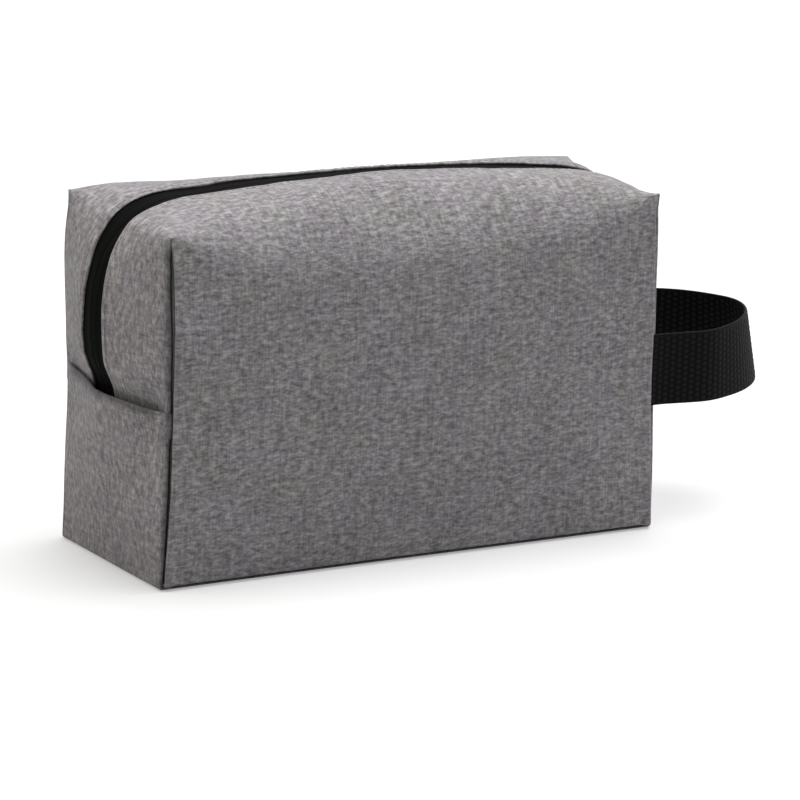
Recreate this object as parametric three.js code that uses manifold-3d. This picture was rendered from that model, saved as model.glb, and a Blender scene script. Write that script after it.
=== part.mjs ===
// Box-shaped toiletry bag with a zip over its top and both ends, and a webbing loop on one end.
// Millimetres. +X runs towards the loop, the front face looks along -Y, +Z is up.
// The origin is the middle of the underside.
import * as THREE from 'three';
import { mergeVertices } from 'three/addons/utils/BufferGeometryUtils.js';
import Module from 'manifold-3d';

const wasm = await Module();
wasm.setup();

// The bag's box, between its sewn corners
const bagLength = 230;
const bagDepth = 84;
const cornerHeight = 140;
const seamHeight = 70;

// The layers of the walls
const clothThickness = 0.9;
const foamThickness = 2.4;
const liningThickness = 0.5;
const layerGap = 0.3;

// How the cloth swells and rolls between its seams
const faceSwell = 2;
const endSwell = 1.5;
const leftSeamSwell = 6;
const frontRidge = 3.2;
const backRidge = 1.6;
const frontRoll = 25;
const backRoll = 20;

// The zip
const zipSetBack = 3.5;
const mouthWidth = 17.5;
const tapeReach = 13;
const tapeThickness = 0.6;
const coilWidth = 2.6;
const coilThickness = 1.8;
const coilSpacing = 1.8;
const zipEndDrop = 28;
const zipEndSwell = 9.5;
const foamSetBack = 14;
const liningSetBack = 9;

// The slider and its pull
const sliderRise = 14;
const sliderLength = 10;
const sliderWidth = 9;
const sliderTailWidth = 6.6;
const plateThickness = 1.3;
const plateClearance = 0.3;
const innerPlateClearance = 0.6;
const postWidth = 1.2;
const postLength = 3.6;
const bailWidth = 2.4;
const bailThickness = 0.9;
const bailOpening = 2.3;
const bailReach = 2.8;
const pullPinWidth = 1.1;
const pullThickness = 1.1;
const pullEyeLength = 3.9;
const pullEyeWidth = 3.4;
const pullRim = 1.4;
const pullHeadWidth = 6.4;
const pullTipWidth = 8;
const pullLength = 30;

// The webbing loop
const webbingWidth = 30;
const webbingThickness = 1.3;
const webbingDrop = 18;
const loopReach = 67;
const legReach = 20.35;
const legDrift = 2.15;
const tailLength = 13.8;
const tailProud = 2.2;
const tailDrop = 1;
const hingeGap = 0.9;

// Shares of the rise from the end seam to the top corner, and of half the length
const riseShares = [0, 0.09, 0.25, 0.42, 0.6, 0.76, 0.89, 1];
const lengthShares = [-1, -0.94, -0.86, -0.74, -0.58, -0.4, -0.2, 0, 0.2, 0.4, 0.58, 0.74, 0.86, 0.94, 1];
const endFoldShare = 0.33;
const lowerRiseShares = [1, 0.66, endFoldShare, 0];
const frontDepthShares = [-0.76, -0.5, -0.22];
const backDepthShares = [0.32, 0.56, 0.78];
const acrossShares = [0.38, 0.52, 0.66, 0.78, 0.9, 1];
const tapeAcrossShares = [0, 0.5, 1];

// The zip line over the left end and the top: shares of half the length, and of the rise above the end seam
const zipLineShares = [
  [-1.052, 0],
  [-1.068, 0.172],
  [-1.075, 0.357],
  [-1.066, 0.586],
  [-1.037, 0.81],
  [-0.985, 0.96],
  [-0.91, 1.05],
  [-0.8, 1.092],
  [-0.65, 1.107],
  [-0.5, 1.13],
  [-0.25, 1.15],
  [0, 1.155],
  [0.25, 1.142],
  [0.5, 1.112],
  [0.72, 1.075],
  [0.87, 1.045],
  [0.965, 0.975],
  [1.04, 0.84],
];

// The loop seen from above, as shares of its reach from the end and of half the depth
const loopShares = [
  [0.522, -0.917],
  [0.716, -0.738],
  [0.881, -0.476],
  [0.98, -0.19],
  [0.998, 0.06],
  [0.933, 0.321],
  [0.806, 0.583],
  [0.627, 0.762],
];

const halfLength = bagLength / 2;
const halfDepth = bagDepth / 2;
const endLine = halfLength + zipEndSwell;
const seamGap = layerGap / 2;
const seamRise = cornerHeight - seamHeight;
const sliderHeight = seamHeight + sliderRise;
const webbingHeight = seamHeight - webbingDrop;
const clothInset = [0, clothThickness];
const foamInset = [clothThickness + layerGap, clothThickness + layerGap + foamThickness];
const liningInset = [foamInset[1] + layerGap, foamInset[1] + layerGap + liningThickness];
const tapeInset = [foamInset[0], foamInset[0] + tapeThickness];
const coilInset = [tapeInset[1] + layerGap, tapeInset[1] + layerGap + coilThickness];
// A roll keeps the wall's thickness when its radius shrinks by this share of the inset
const rollInsetShare = 1.17;
// The power of the place along the bag by which a roll dies away towards the corners
const rollFade = 3;
const plateCurveSteps = 4;
const pullCurveSteps = 10;
const legSteps = 4;
const bendSteps = 12;
const loopLengthSteps = 400;
const FRONT = -1;
const BACK = 1;

const clothColour = 0x7d7b7e;
const foamColour = 0xd8d6d0;
const liningColour = 0x2b2b2d;
const zipColour = 0x141415;
const sliderColour = 0x1b1b1c;
const webbingColour = 0x161617;

const bag = new THREE.Group();

function material(color, roughness, metalness = 0) {
  return new THREE.MeshStandardMaterial({ color, roughness, metalness });
}

function addPiece(name, geometry, look) {
  const mesh = new THREE.Mesh(geometry, look);
  mesh.name = name;
  bag.add(mesh);
  return mesh;
}

// The outer line of the zip, from the end seam on the left to the end seam on the right
function zipLine() {
  const place = ([x, rise]) => new THREE.Vector3(x * halfLength, zipSetBack, seamHeight + rise * seamRise);
  const points = zipLineShares.map(place);
  const high = new THREE.Vector3(endLine, zipSetBack, cornerHeight - zipEndDrop);
  const seam = new THREE.Vector3(endLine, zipSetBack, seamHeight);
  const path = new THREE.CurvePath();
  path.add(new THREE.CatmullRomCurve3([...points, high]));
  path.add(new THREE.LineCurve3(high, seam));
  return path;
}

const zipPath = zipLine();

// Places along the sewn edge: up the left corner, along the top and down the right corner
function edgeStations() {
  const edgeLength = 2 * seamRise + bagLength;
  const stations = [];
  for (const rise of riseShares) {
    stations.push({ x: -1, rise, along: (rise * seamRise) / edgeLength });
  }
  for (const x of lengthShares.slice(1, -1)) {
    stations.push({ x, rise: 1, along: (seamRise + (x + 1) * halfLength) / edgeLength });
  }
  for (const rise of [...riseShares].reverse()) {
    stations.push({ x: 1, rise, along: 1 - (rise * seamRise) / edgeLength });
  }
  return stations;
}

const stations = edgeStations();

function edgePoint(station, inset, side) {
  const low = seamHeight + seamGap;
  const z = low + station.rise * (cornerHeight - inset - low);
  return new THREE.Vector3(station.x * (halfLength - inset), side * (halfDepth - inset), z);
}

// The zip line's outward direction, square to it
function zipNormal(station) {
  if (station.rise === 0) {
    return new THREE.Vector3(station.x, 0, 0);
  }
  const tangent = zipPath.getTangentAt(station.along);
  return new THREE.Vector3(-tangent.z, 0, tangent.x).normalize();
}

function zipPoint(station, inset) {
  const point = zipPath.getPointAt(station.along).addScaledVector(zipNormal(station), -inset);
  if (station.rise === 0) {
    point.z = seamHeight + seamGap;
  }
  return point;
}

function rollRadius(xShare, inset, side) {
  const radius = side === FRONT ? frontRoll : backRoll;
  return Math.max(radius * (1 - Math.abs(xShare) ** rollFade) - rollInsetShare * inset, 0);
}

// Moves a point on the top, or on a face, onto the soft roll between them
function roll(point, distance, radius, onTop, side) {
  if (distance >= radius) {
    return point;
  }
  const turn = 0.5 + (onTop ? 0.5 : -0.5) * (distance / radius);
  const inward = turn * turn * radius - (onTop ? distance : 0);
  const down = (1 - turn) * (1 - turn) * radius - (onTop ? 0 : distance);
  point.y -= side * inward;
  point.z -= down;
  return point;
}

// A place on the top or an end, at a distance from the middle of the zip towards the sewn edge
function topPoint(station, fromZip, inset, side) {
  const middle = zipPoint(station, inset);
  const edge = edgePoint(station, inset, side);
  const span = middle.distanceTo(edge);
  const share = Math.min(fromZip / span, 1);
  const ridge = side === FRONT ? frontRidge : backRidge;
  const onTop = Math.abs(station.x) < 1;
  const swell = onTop ? ridge : endSwell;
  const point = middle.clone().lerp(edge, share);
  point.addScaledVector(zipNormal(station), swell * Math.sin(Math.PI * share));
  return roll(point, span * (1 - share), rollRadius(station.x, inset, side), true, side);
}

// The distance from the zip's middle to the sewn edge
function spanAt(station, inset, side) {
  return zipPoint(station, inset).distanceTo(edgePoint(station, inset, side));
}

function facePoint(xShare, z, inset, side) {
  const swell = faceSwell * (1 - xShare * xShare) * Math.sin((Math.PI * z) / cornerHeight);
  const point = new THREE.Vector3(xShare * (halfLength - inset), side * (halfDepth - inset + swell), z);
  return roll(point, cornerHeight - inset - z, rollRadius(xShare, inset, side), false, side);
}

// How far a lower end stands out at a place across the depth
function endSwellAt(y, z, end) {
  const towardsFront = y < zipSetBack;
  const share = towardsFront
    ? (zipSetBack - y) / (halfDepth + zipSetBack)
    : (y - zipSetBack) / (halfDepth - zipSetBack);
  const peak = end < 0 ? leftSeamSwell : zipEndSwell;
  const across = peak * (1 - share) + endSwell * Math.sin(Math.PI * share);
  return across * Math.sin((Math.PI / 2) * (z / seamHeight));
}

// One closed sheet between two insets of the same patches, joined where their edges meet
function sheet(patches, [outerInset, innerInset]) {
  const outer = [];
  const inner = [];
  const known = new Map();
  const faces = [];
  for (const { rows, columns, place } of patches) {
    const index = (row, column) => {
      const point = place(row, column, outerInset);
      const key = point.toArray().map((value) => value.toFixed(3)).join();
      if (!known.has(key)) {
        known.set(key, outer.length);
        outer.push(point);
        inner.push(place(row, column, innerInset));
      }
      return known.get(key);
    };
    for (let row = 0; row + 1 < rows; row += 1) {
      for (let column = 0; column + 1 < columns; column += 1) {
        const corners = [index(row, column), index(row + 1, column)];
        corners.push(index(row + 1, column + 1), index(row, column + 1));
        faces.push([corners[0], corners[1], corners[2]], [corners[0], corners[2], corners[3]]);
      }
    }
  }
  return closedSheet(outer, inner, faces);
}

function closedSheet(outer, inner, faces) {
  const count = outer.length;
  const directed = new Set(faces.flatMap(([a, b, c]) => [`${a},${b}`, `${b},${c}`, `${c},${a}`]));
  const triangles = [];
  for (const [a, b, c] of faces) {
    triangles.push([a, b, c], [a + count, c + count, b + count]);
  }
  for (const edge of directed) {
    const [a, b] = edge.split(',').map(Number);
    if (!directed.has(`${b},${a}`)) {
      triangles.push([a, a + count, b + count], [a, b + count, b]);
    }
  }
  return solidGeometry([...outer, ...inner], triangles);
}

// An indexed geometry whose faces point out
function solidGeometry(points, triangles) {
  const cross = new THREE.Vector3();
  let volume = 0;
  for (const [a, b, c] of triangles) {
    volume += cross.crossVectors(points[a], points[b]).dot(points[c]);
  }
  const outward = volume > 0 ? triangles : triangles.map(([a, b, c]) => [a, c, b]);
  const geometry = new THREE.BufferGeometry();
  geometry.setAttribute('position', new THREE.Float32BufferAttribute(points.flatMap((p) => p.toArray()), 3));
  geometry.setIndex(outward.flat());
  return geometry;
}

function mix(low, high, share) {
  return low + (high - low) * share;
}

// Upper half of one layer: half the top, half of each upper end, and the face above the end seam
function upperSheet(insets, mouthReach, side) {
  const strip = {
    rows: acrossShares.length + 1,
    columns: stations.length,
    place: (row, column, inset) => {
      const station = stations[column];
      const fromZip = row === 0 ? mouthReach : acrossShares[row - 1] * spanAt(station, inset, side);
      return topPoint(station, fromZip, inset, side);
    },
  };
  const face = {
    rows: riseShares.length,
    columns: lengthShares.length,
    place: (row, column, inset) => {
      const low = seamHeight + seamGap;
      const rise = riseShares[riseShares.length - 1 - row];
      return facePoint(lengthShares[column], low + rise * (cornerHeight - inset - low), inset, side);
    },
  };
  return sheet([strip, face], insets);
}

function lowerFaceSheet(insets, side) {
  const face = {
    rows: lowerRiseShares.length,
    columns: lengthShares.length,
    place: (row, column, inset) => {
      const z = mix(insets[0], seamHeight - seamGap, lowerRiseShares[row]);
      const x = lengthShares[column];
      const point = facePoint(x, z, inset, side);
      point.x = x * (halfLength - insets[0]);
      return point;
    },
  };
  return sheet([face], insets);
}

// Base and both lower ends of one layer, a single strip that folds up at the ends
function baseStripSheet(insets) {
  const edge = halfDepth - insets[1] - layerGap;
  const inFront = frontDepthShares.map((share) => share * halfDepth);
  const behind = backDepthShares.map((share) => share * halfDepth);
  const places = [-edge, ...inFront, zipSetBack, ...behind, edge];
  const route = [];
  for (const rise of lowerRiseShares) {
    route.push({ end: -1, x: -1, rise });
  }
  for (const x of lengthShares.slice(1, -1)) {
    route.push({ end: 0, x, rise: 0 });
  }
  for (const rise of [...lowerRiseShares].reverse()) {
    route.push({ end: 1, x: 1, rise });
  }
  const strip = {
    rows: places.length,
    columns: route.length,
    place: (row, column, inset) => {
      const { end, x, rise } = route[column];
      const y = places[row];
      const z = mix(inset, seamHeight - seamGap, rise);
      const swell = end * endSwellAt(y, z, end) * Math.min(rise / endFoldShare, 1);
      return new THREE.Vector3(x * (halfLength - inset) + swell, y, z);
    },
  };
  return sheet([strip], insets);
}

// A strip beside the zip's middle line, such as one tape or one row of its coil
function zipStrip(insets, near, far, shares, side) {
  const strip = {
    rows: shares.length,
    columns: stations.length,
    place: (row, column, inset) => topPoint(stations[column], mix(near, far, shares[row]), inset, side),
  };
  return sheet([strip], insets);
}

function toManifold(geometry) {
  const bare = geometry.clone();
  bare.deleteAttribute('normal');
  bare.deleteAttribute('uv');
  const merged = mergeVertices(bare);
  const triVerts = new Uint32Array(merged.index.array);
  const vertProperties = new Float32Array(merged.attributes.position.array);
  return new wasm.Manifold(new wasm.Mesh({ numProp: 3, vertProperties, triVerts }));
}

function toGeometry(manifold) {
  const mesh = manifold.getMesh();
  const geometry = new THREE.BufferGeometry();
  geometry.setAttribute('position', new THREE.Float32BufferAttribute(mesh.vertProperties, 3));
  geometry.setIndex(Array.from(mesh.triVerts));
  return geometry;
}

function join(geometries) {
  return toGeometry(geometries.map(toManifold).reduce((sum, next) => sum.add(next)));
}

function cut(geometry, cutters) {
  return toGeometry(cutters.map(toManifold).reduce((rest, next) => rest.subtract(next), toManifold(geometry)));
}

// A box between two corners
function boxBetween(low, high) {
  const box = new THREE.BoxGeometry(high[0] - low[0], high[1] - low[1], high[2] - low[2]);
  box.translate((low[0] + high[0]) / 2, (low[1] + high[1]) / 2, (low[2] + high[2]) / 2);
  return box;
}

// The loop's two sewn tails lie inside the lower corners, against the face cloth
const tailLine = halfDepth - clothThickness - layerGap - webbingThickness / 2;
const hingeX = halfLength + tailProud + hingeGap / 2;

function tailBox(side, clearance) {
  const outerY = tailLine + webbingThickness / 2 + clearance;
  const innerY = tailLine - webbingThickness / 2 - clearance;
  const nearY = side < 0 ? -outerY : innerY;
  const farY = side < 0 ? -innerY : outerY;
  const lowX = halfLength + tailProud - tailLength - clearance;
  const top = clearance > 0 ? seamHeight : seamHeight - tailDrop;
  return boxBetween([lowX, nearY, webbingHeight - clearance], [halfLength + tailProud + clearance, farY, top]);
}

function addLayers() {
  const cloth = material(clothColour, 0.95);
  const foam = material(foamColour, 0.9);
  const lining = material(liningColour, 0.85);
  const slots = [tailBox(FRONT, layerGap), tailBox(BACK, layerGap)];
  const mouthReach = mouthWidth / 2;
  addPiece('front_cloth_lower', lowerFaceSheet(clothInset, FRONT), cloth);
  addPiece('back_cloth_lower', lowerFaceSheet(clothInset, BACK), cloth.clone());
  addPiece('base_and_ends_cloth', cut(baseStripSheet(clothInset), slots), cloth.clone());
  addPiece('front_cloth_upper', upperSheet(clothInset, mouthReach, FRONT), cloth.clone());
  addPiece('back_cloth_upper', upperSheet(clothInset, mouthReach, BACK), cloth.clone());
  addPiece('front_foam_lower', cut(lowerFaceSheet(foamInset, FRONT), slots), foam);
  addPiece('back_foam_lower', cut(lowerFaceSheet(foamInset, BACK), slots), foam.clone());
  addPiece('base_and_ends_foam', baseStripSheet(foamInset), foam.clone());
  addPiece('front_foam_upper', upperSheet(foamInset, foamSetBack, FRONT), foam.clone());
  addPiece('back_foam_upper', upperSheet(foamInset, foamSetBack, BACK), foam.clone());
  addPiece('front_lining_lower', lowerFaceSheet(liningInset, FRONT), lining);
  addPiece('back_lining_lower', lowerFaceSheet(liningInset, BACK), lining.clone());
  addPiece('base_and_ends_lining', baseStripSheet(liningInset), lining.clone());
  addPiece('front_lining_upper', upperSheet(liningInset, liningSetBack, FRONT), lining.clone());
  addPiece('back_lining_upper', upperSheet(liningInset, liningSetBack, BACK), lining.clone());
}

function addZip() {
  const tape = material(zipColour, 0.8);
  const coil = material(zipColour, 0.45);
  const near = coilSpacing / 2;
  const edgeShares = [0, 1];
  addPiece('zip_tape_front', zipStrip(tapeInset, near, tapeReach, tapeAcrossShares, FRONT), tape);
  addPiece('zip_tape_back', zipStrip(tapeInset, near, tapeReach, tapeAcrossShares, BACK), tape.clone());
  addPiece('zip_coil_front', zipStrip(coilInset, near, near + coilWidth, edgeShares, FRONT), coil);
  addPiece('zip_coil_back', zipStrip(coilInset, near, near + coilWidth, edgeShares, BACK), coil.clone());
}

// The slider's levels, from the cloth's outer line on the right end
const outerPlateLow = endLine - tapeInset[0] + plateClearance;
const outerPlateHigh = outerPlateLow + plateThickness;
const innerPlateHigh = endLine - coilInset[1] - innerPlateClearance;
const innerPlateLow = innerPlateHigh - plateThickness;
const pullAxisX = outerPlateHigh + bailOpening / 2;

// A slider plate seen along X: wide at its lower end, where the two rows part
function sliderPlate(low, high) {
  const half = sliderLength / 2;
  const shape = new THREE.Shape();
  shape.moveTo(-sliderTailWidth / 2, half);
  shape.lineTo(sliderTailWidth / 2, half);
  shape.lineTo(sliderWidth / 2, 0);
  shape.lineTo(sliderWidth / 2, -half / 2);
  shape.quadraticCurveTo(sliderWidth / 2, -half, 0, -half);
  shape.quadraticCurveTo(-sliderWidth / 2, -half, -sliderWidth / 2, -half / 2);
  shape.lineTo(-sliderWidth / 2, 0);
  shape.closePath();
  const options = { depth: high - low, bevelEnabled: false, curveSegments: plateCurveSteps };
  const plate = new THREE.ExtrudeGeometry(shape, options);
  plate.rotateY(Math.PI / 2);
  plate.rotateX(Math.PI / 2);
  plate.translate(low, zipSetBack, sliderHeight);
  return plate;
}

function sliderBody() {
  const halfBail = bailWidth / 2;
  const bailTop = outerPlateHigh + bailOpening;
  const y = [zipSetBack - halfBail, zipSetBack + halfBail];
  const foot = outerPlateHigh - plateThickness / 2;
  const legs = [-1, 1].map((sign) => {
    const z = [sliderHeight + sign * (bailReach - bailThickness), sliderHeight + sign * bailReach];
    return boxBetween([foot, y[0], Math.min(...z)], [bailTop + bailThickness, y[1], Math.max(...z)]);
  });
  const low = [bailTop, y[0], sliderHeight - bailReach];
  const bridge = boxBetween(low, [bailTop + bailThickness, y[1], sliderHeight + bailReach]);
  const postLow = sliderHeight - sliderLength / 2 + plateThickness / 2;
  const postStart = [innerPlateHigh - plateThickness / 2, zipSetBack - postWidth / 2, postLow];
  const postEnd = [outerPlateLow + plateThickness / 2, zipSetBack + postWidth / 2, postLow + postLength];
  const plates = [sliderPlate(outerPlateLow, outerPlateHigh), sliderPlate(innerPlateLow, innerPlateHigh)];
  return join([...plates, boxBetween(postStart, postEnd), ...legs, bridge]);
}

// The pull hangs from its pin under the slider's bail; the pin's middle is the shape's origin
function pullTab() {
  const pin = pullPinWidth / 2;
  const outline = new THREE.Shape();
  const tipRadius = pullTipWidth / 2;
  const shoulder = -pullEyeLength - pullRim;
  outline.moveTo(-pullHeadWidth / 2, pin);
  outline.lineTo(-pullHeadWidth / 2, shoulder);
  outline.absarc(0, tipRadius - pullLength, tipRadius, Math.PI, 2 * Math.PI, false);
  outline.lineTo(pullHeadWidth / 2, shoulder);
  outline.lineTo(pullHeadWidth / 2, pin);
  outline.closePath();
  const eye = new THREE.Path();
  eye.moveTo(-pullEyeWidth / 2, -pin);
  eye.lineTo(pullEyeWidth / 2, -pin);
  eye.lineTo(pullEyeWidth / 2, -pullEyeLength);
  eye.lineTo(-pullEyeWidth / 2, -pullEyeLength);
  eye.closePath();
  outline.holes.push(eye);
  const options = { depth: pullThickness, bevelEnabled: false, curveSegments: pullCurveSteps };
  const tab = new THREE.ExtrudeGeometry(outline, options);
  tab.translate(0, 0, -pullThickness / 2);
  tab.rotateY(Math.PI / 2);
  tab.rotateX(Math.PI / 2);
  tab.translate(pullAxisX, zipSetBack, sliderHeight);
  return tab;
}

function addSlider() {
  addPiece('zip_slider', sliderBody(), material(sliderColour, 0.35, 0.6));
  addPiece('zip_pull', pullTab(), material(sliderColour, 0.4, 0.5));
}

// The loop's middle line seen from above, with the places where its legs end
function loopLine() {
  const frontHinge = new THREE.Vector3(hingeX, -tailLine, 0);
  const backHinge = new THREE.Vector3(hingeX, tailLine, 0);
  const leg = new THREE.Vector3(legReach, -legDrift, 0);
  const bend = loopShares.map(([x, y]) => new THREE.Vector3(halfLength + x * loopReach, y * halfDepth, 0));
  const frontKnee = frontHinge.clone().add(leg);
  const backKnee = backHinge.clone().add(leg);
  const points = [frontHinge, frontKnee, ...bend, backKnee, backHinge];
  const line = new THREE.CatmullRomCurve3(points, false, 'centripetal');
  line.arcLengthDivisions = loopLengthSteps;
  const legShare = 1 / (points.length - 1);
  return { line, knees: [legShare, 1 - legShare] };
}

// The share of the curve's own length at one of its points
function lengthShare(line, parameter) {
  const divisions = line.arcLengthDivisions;
  const lengths = line.getLengths(divisions);
  const place = parameter * divisions;
  const below = Math.floor(place);
  const above = Math.min(below + 1, divisions);
  return mix(lengths[below], lengths[above], place - below) / lengths[divisions];
}

function webbingRibbon(line, from, to, steps) {
  const sides = [[], []];
  for (let step = 0; step <= steps; step += 1) {
    const share = mix(from, to, step / steps);
    const point = line.getPointAt(share);
    const tangent = line.getTangentAt(share);
    const across = new THREE.Vector2(-tangent.y, tangent.x).normalize().multiplyScalar(webbingThickness / 2);
    sides[0].push(new THREE.Vector2(point.x + across.x, point.y + across.y));
    sides[1].push(new THREE.Vector2(point.x - across.x, point.y - across.y));
  }
  const shape = new THREE.Shape([...sides[0], ...sides[1].reverse()]);
  const ribbon = new THREE.ExtrudeGeometry(shape, { depth: webbingWidth, bevelEnabled: false });
  ribbon.translate(0, 0, webbingHeight);
  return ribbon;
}

function addLoop() {
  const webbing = material(webbingColour, 0.75);
  const { line, knees } = loopLine();
  const total = line.getLength();
  const gap = hingeGap / 2 / total;
  const middleGap = layerGap / 2 / total;
  const frontKnee = lengthShare(line, knees[0]);
  const backKnee = lengthShare(line, knees[1]);
  const middle = (frontKnee + backKnee) / 2;
  const frontBend = webbingRibbon(line, frontKnee + gap, middle - middleGap, bendSteps);
  const backBend = webbingRibbon(line, middle + middleGap, backKnee - gap, bendSteps);
  addPiece('loop_tail_front', tailBox(FRONT, 0), webbing);
  addPiece('loop_tail_back', tailBox(BACK, 0), webbing.clone());
  addPiece('loop_leg_front', webbingRibbon(line, gap, frontKnee - gap, legSteps), webbing.clone());
  addPiece('loop_bend_front', frontBend, webbing.clone());
  addPiece('loop_bend_back', backBend, webbing.clone());
  addPiece('loop_leg_back', webbingRibbon(line, backKnee + gap, 1 - gap, legSteps), webbing.clone());
}

addLayers();
addZip();
addSlider();
addLoop();

export default bag;
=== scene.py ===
import math

import bmesh
import bpy
import numpy as np
from mathutils import Matrix, Vector


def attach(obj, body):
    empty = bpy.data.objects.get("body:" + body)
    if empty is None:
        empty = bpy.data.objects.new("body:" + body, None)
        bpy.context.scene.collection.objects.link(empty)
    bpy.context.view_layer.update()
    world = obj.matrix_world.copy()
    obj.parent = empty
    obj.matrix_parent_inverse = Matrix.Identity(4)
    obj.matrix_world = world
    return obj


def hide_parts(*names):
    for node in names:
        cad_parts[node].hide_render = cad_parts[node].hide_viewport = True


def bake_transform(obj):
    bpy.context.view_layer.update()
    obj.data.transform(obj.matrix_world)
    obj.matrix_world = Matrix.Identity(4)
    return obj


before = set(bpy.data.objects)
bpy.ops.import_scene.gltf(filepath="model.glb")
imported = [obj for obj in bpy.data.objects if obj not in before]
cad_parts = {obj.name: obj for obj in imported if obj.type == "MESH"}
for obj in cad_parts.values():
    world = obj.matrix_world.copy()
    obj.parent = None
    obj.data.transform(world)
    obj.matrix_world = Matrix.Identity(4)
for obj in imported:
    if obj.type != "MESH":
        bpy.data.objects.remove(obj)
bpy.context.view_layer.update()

# Lengths are in millimetres until a mesh is made, as in the part's own source
MM = 0.001

# The two faces lie along Y and the two ends along X
FRONT = -1
BACK = 1
LEFT = -1
RIGHT = 1

# The bag's box, between its sewn corners
BAG_LENGTH = 230
BAG_DEPTH = 84
CORNER_HEIGHT = 140
SEAM_HEIGHT = 70
HALF_LENGTH = BAG_LENGTH / 2
HALF_DEPTH = BAG_DEPTH / 2
SEAM_RISE = CORNER_HEIGHT - SEAM_HEIGHT

# How the cloth swells and rolls between its seams
FACE_SWELL = 2
END_SWELL = 1.5
END_SWELL_RISE = 0.33
LEFT_SEAM_SWELL = 6
BACK_RIDGE = 1.6
FRONT_RIDGE = [
    (-1, 3.3),
    (-0.75, 3.4),
    (-0.5, 4),
    (-0.1, 4.8),
    (0.15, 4.3),
    (0.33, 3.7),
    (0.6, 3.9),
    (0.77, 4.2),
    (0.87, 3.2),
    (0.94, 1.7),
    (1, 0.9),
]
FRONT_ROLL = 25
BACK_ROLL = 20
ROLL_INSET_SHARE = 1.17
ROLL_FADE = 3
ROLL_EASE = 5.5
ROLL_EASE_LEAST = 0.5

# The zip
ZIP_SET_BACK = 3.5
MOUTH_WIDTH = 17.5
TAPE_REACH = 13
ZIP_END_DROP = 28
ZIP_END_SWELL = 9.5
ZIP_CURVE_STEPS = 40
ZIP_LOW_STEPS = 60
ZIP_LINE_SHARES = [
    (-1.052, 0),
    (-1.07, 0.172),
    (-1.084, 0.357),
    (-1.079, 0.586),
    (-1.04, 0.81),
    (-0.97, 0.948),
    (-0.895, 1.032),
    (-0.79, 1.089),
    (-0.65, 1.107),
    (-0.5, 1.13),
    (-0.25, 1.144),
    (0, 1.155),
    (0.25, 1.142),
    (0.5, 1.112),
    (0.72, 1.067),
    (0.87, 1.032),
    (0.965, 0.975),
    (1.04, 0.84),
]

# The cloth, its folded edges and its seams
CLOTH_THICKNESS = 0.5
LIP_RADIUS = 0.8
LIP_RUN = 1.2
LIP_GAP = 0.5
LIP_STEPS = 8
LIP_TURN = 0.75 * math.pi
LIP_REST = (0.8, 1.9, 3.2)
LIP_FADE = 7
# Painted shade in the seams' lips: how far it fades over a lip and over a face's lip, its share along the
# base and at the right end, then the painted shade beside the corner seams and how far it reaches
PAINTED_SHADE_FADE = 0.85
FACE_PAINTED_SHADE_FADE = 0.45
BASE_PAINTED_SHADE = 0.4
PAINTED_SHADE_RIGHT = 0.15
SEAM_SHADE = 0.72
SEAM_SHADE_REACH = 6
SEAM_RIDGE = 0.4
SEAM_RIDGE_REACH = 5
FOLD_RADIUS = 0.55
FOLD_RETURN = 7
FOLD_RETURN_STEPS = 4
FOLD_STEPS = 6
# Rows of points beside the folded edge at the mouth, and how far from them its wander fades out
MOUTH_ROWS = (0.8, 1.8, 3.2, 5)
WANDER_REACH = 6
WANDER_FADE = 10
HEM_PROUD = 1.6
HEM_RADIUS = 0.8
HEM_RETURN = 9
HEM_RETURN_STEPS = 5
HEM_ROWS = (0.6, 1.3, 2.2, 3.2)
HEM_LEAST_RADIUS = 0.35
HEM_RISE = 18
HEM_START = 1
HEM_FADE = 12
# Painted shade on the upper ends behind the hem and on the hem's own edge, and how far each fades
HEM_SHADE = 0.52
HEM_SHADE_FADE = 2.6
HEM_EDGE_SHADE = 0.58
HEM_EDGE_FADE = 4
HEM_HOLLOW = 3
HEM_HOLLOW_RISE = 30
# How far the left end's hem is lifted, at places across the depth
HEM_LIFT = [(-42, 0), (-30, 0.4), (-12, 0.9), (3.5, 1.1), (22, 1.6), (36, 1.5), (42, 1.2)]
EAR_TUCK = 6
EAR_RECESS_LEFT = 3.4
EAR_RECESS_RIGHT = 1.1
EAR_RECESS_RISE = 16
BASE_FOLD_RADIUS = 1.4
BASE_FOLD_STEPS = 4
BASE_STEP = 4
GRID_STEP = 2.2
CURVE_STEPS = 12
# The stretch of a line over which its direction is read
LINE_WINDOW = 0.6

# Unevenness of the taut cloth: a seed, and the waves' height, longest length and shortest length
RIPPLE_WAVES = 14
EDGE_SEED = 5
EDGE_WAVES = (0.25, 60, 14)
WIDE_SEED = 20
WIDE_WAVES = (0.22, 90, 30)
FINE_SEED = 30
FINE_WAVES = (0.06, 16, 8)
BASE_SEED = 41
BASE_WAVES = (0.25, 70, 24)
# How it fades out: above the floor, beside the corner seams, and what is left of it there
FLOOR_FADE = 12
CORNER_START = 6
CORNER_REACH = 10
CORNER_SHARE = 0.35
BASE_FLOOR_FADE = 15
BASE_SIDE_FADE = 8
RIDGE_TOP_FADE = 6

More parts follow.
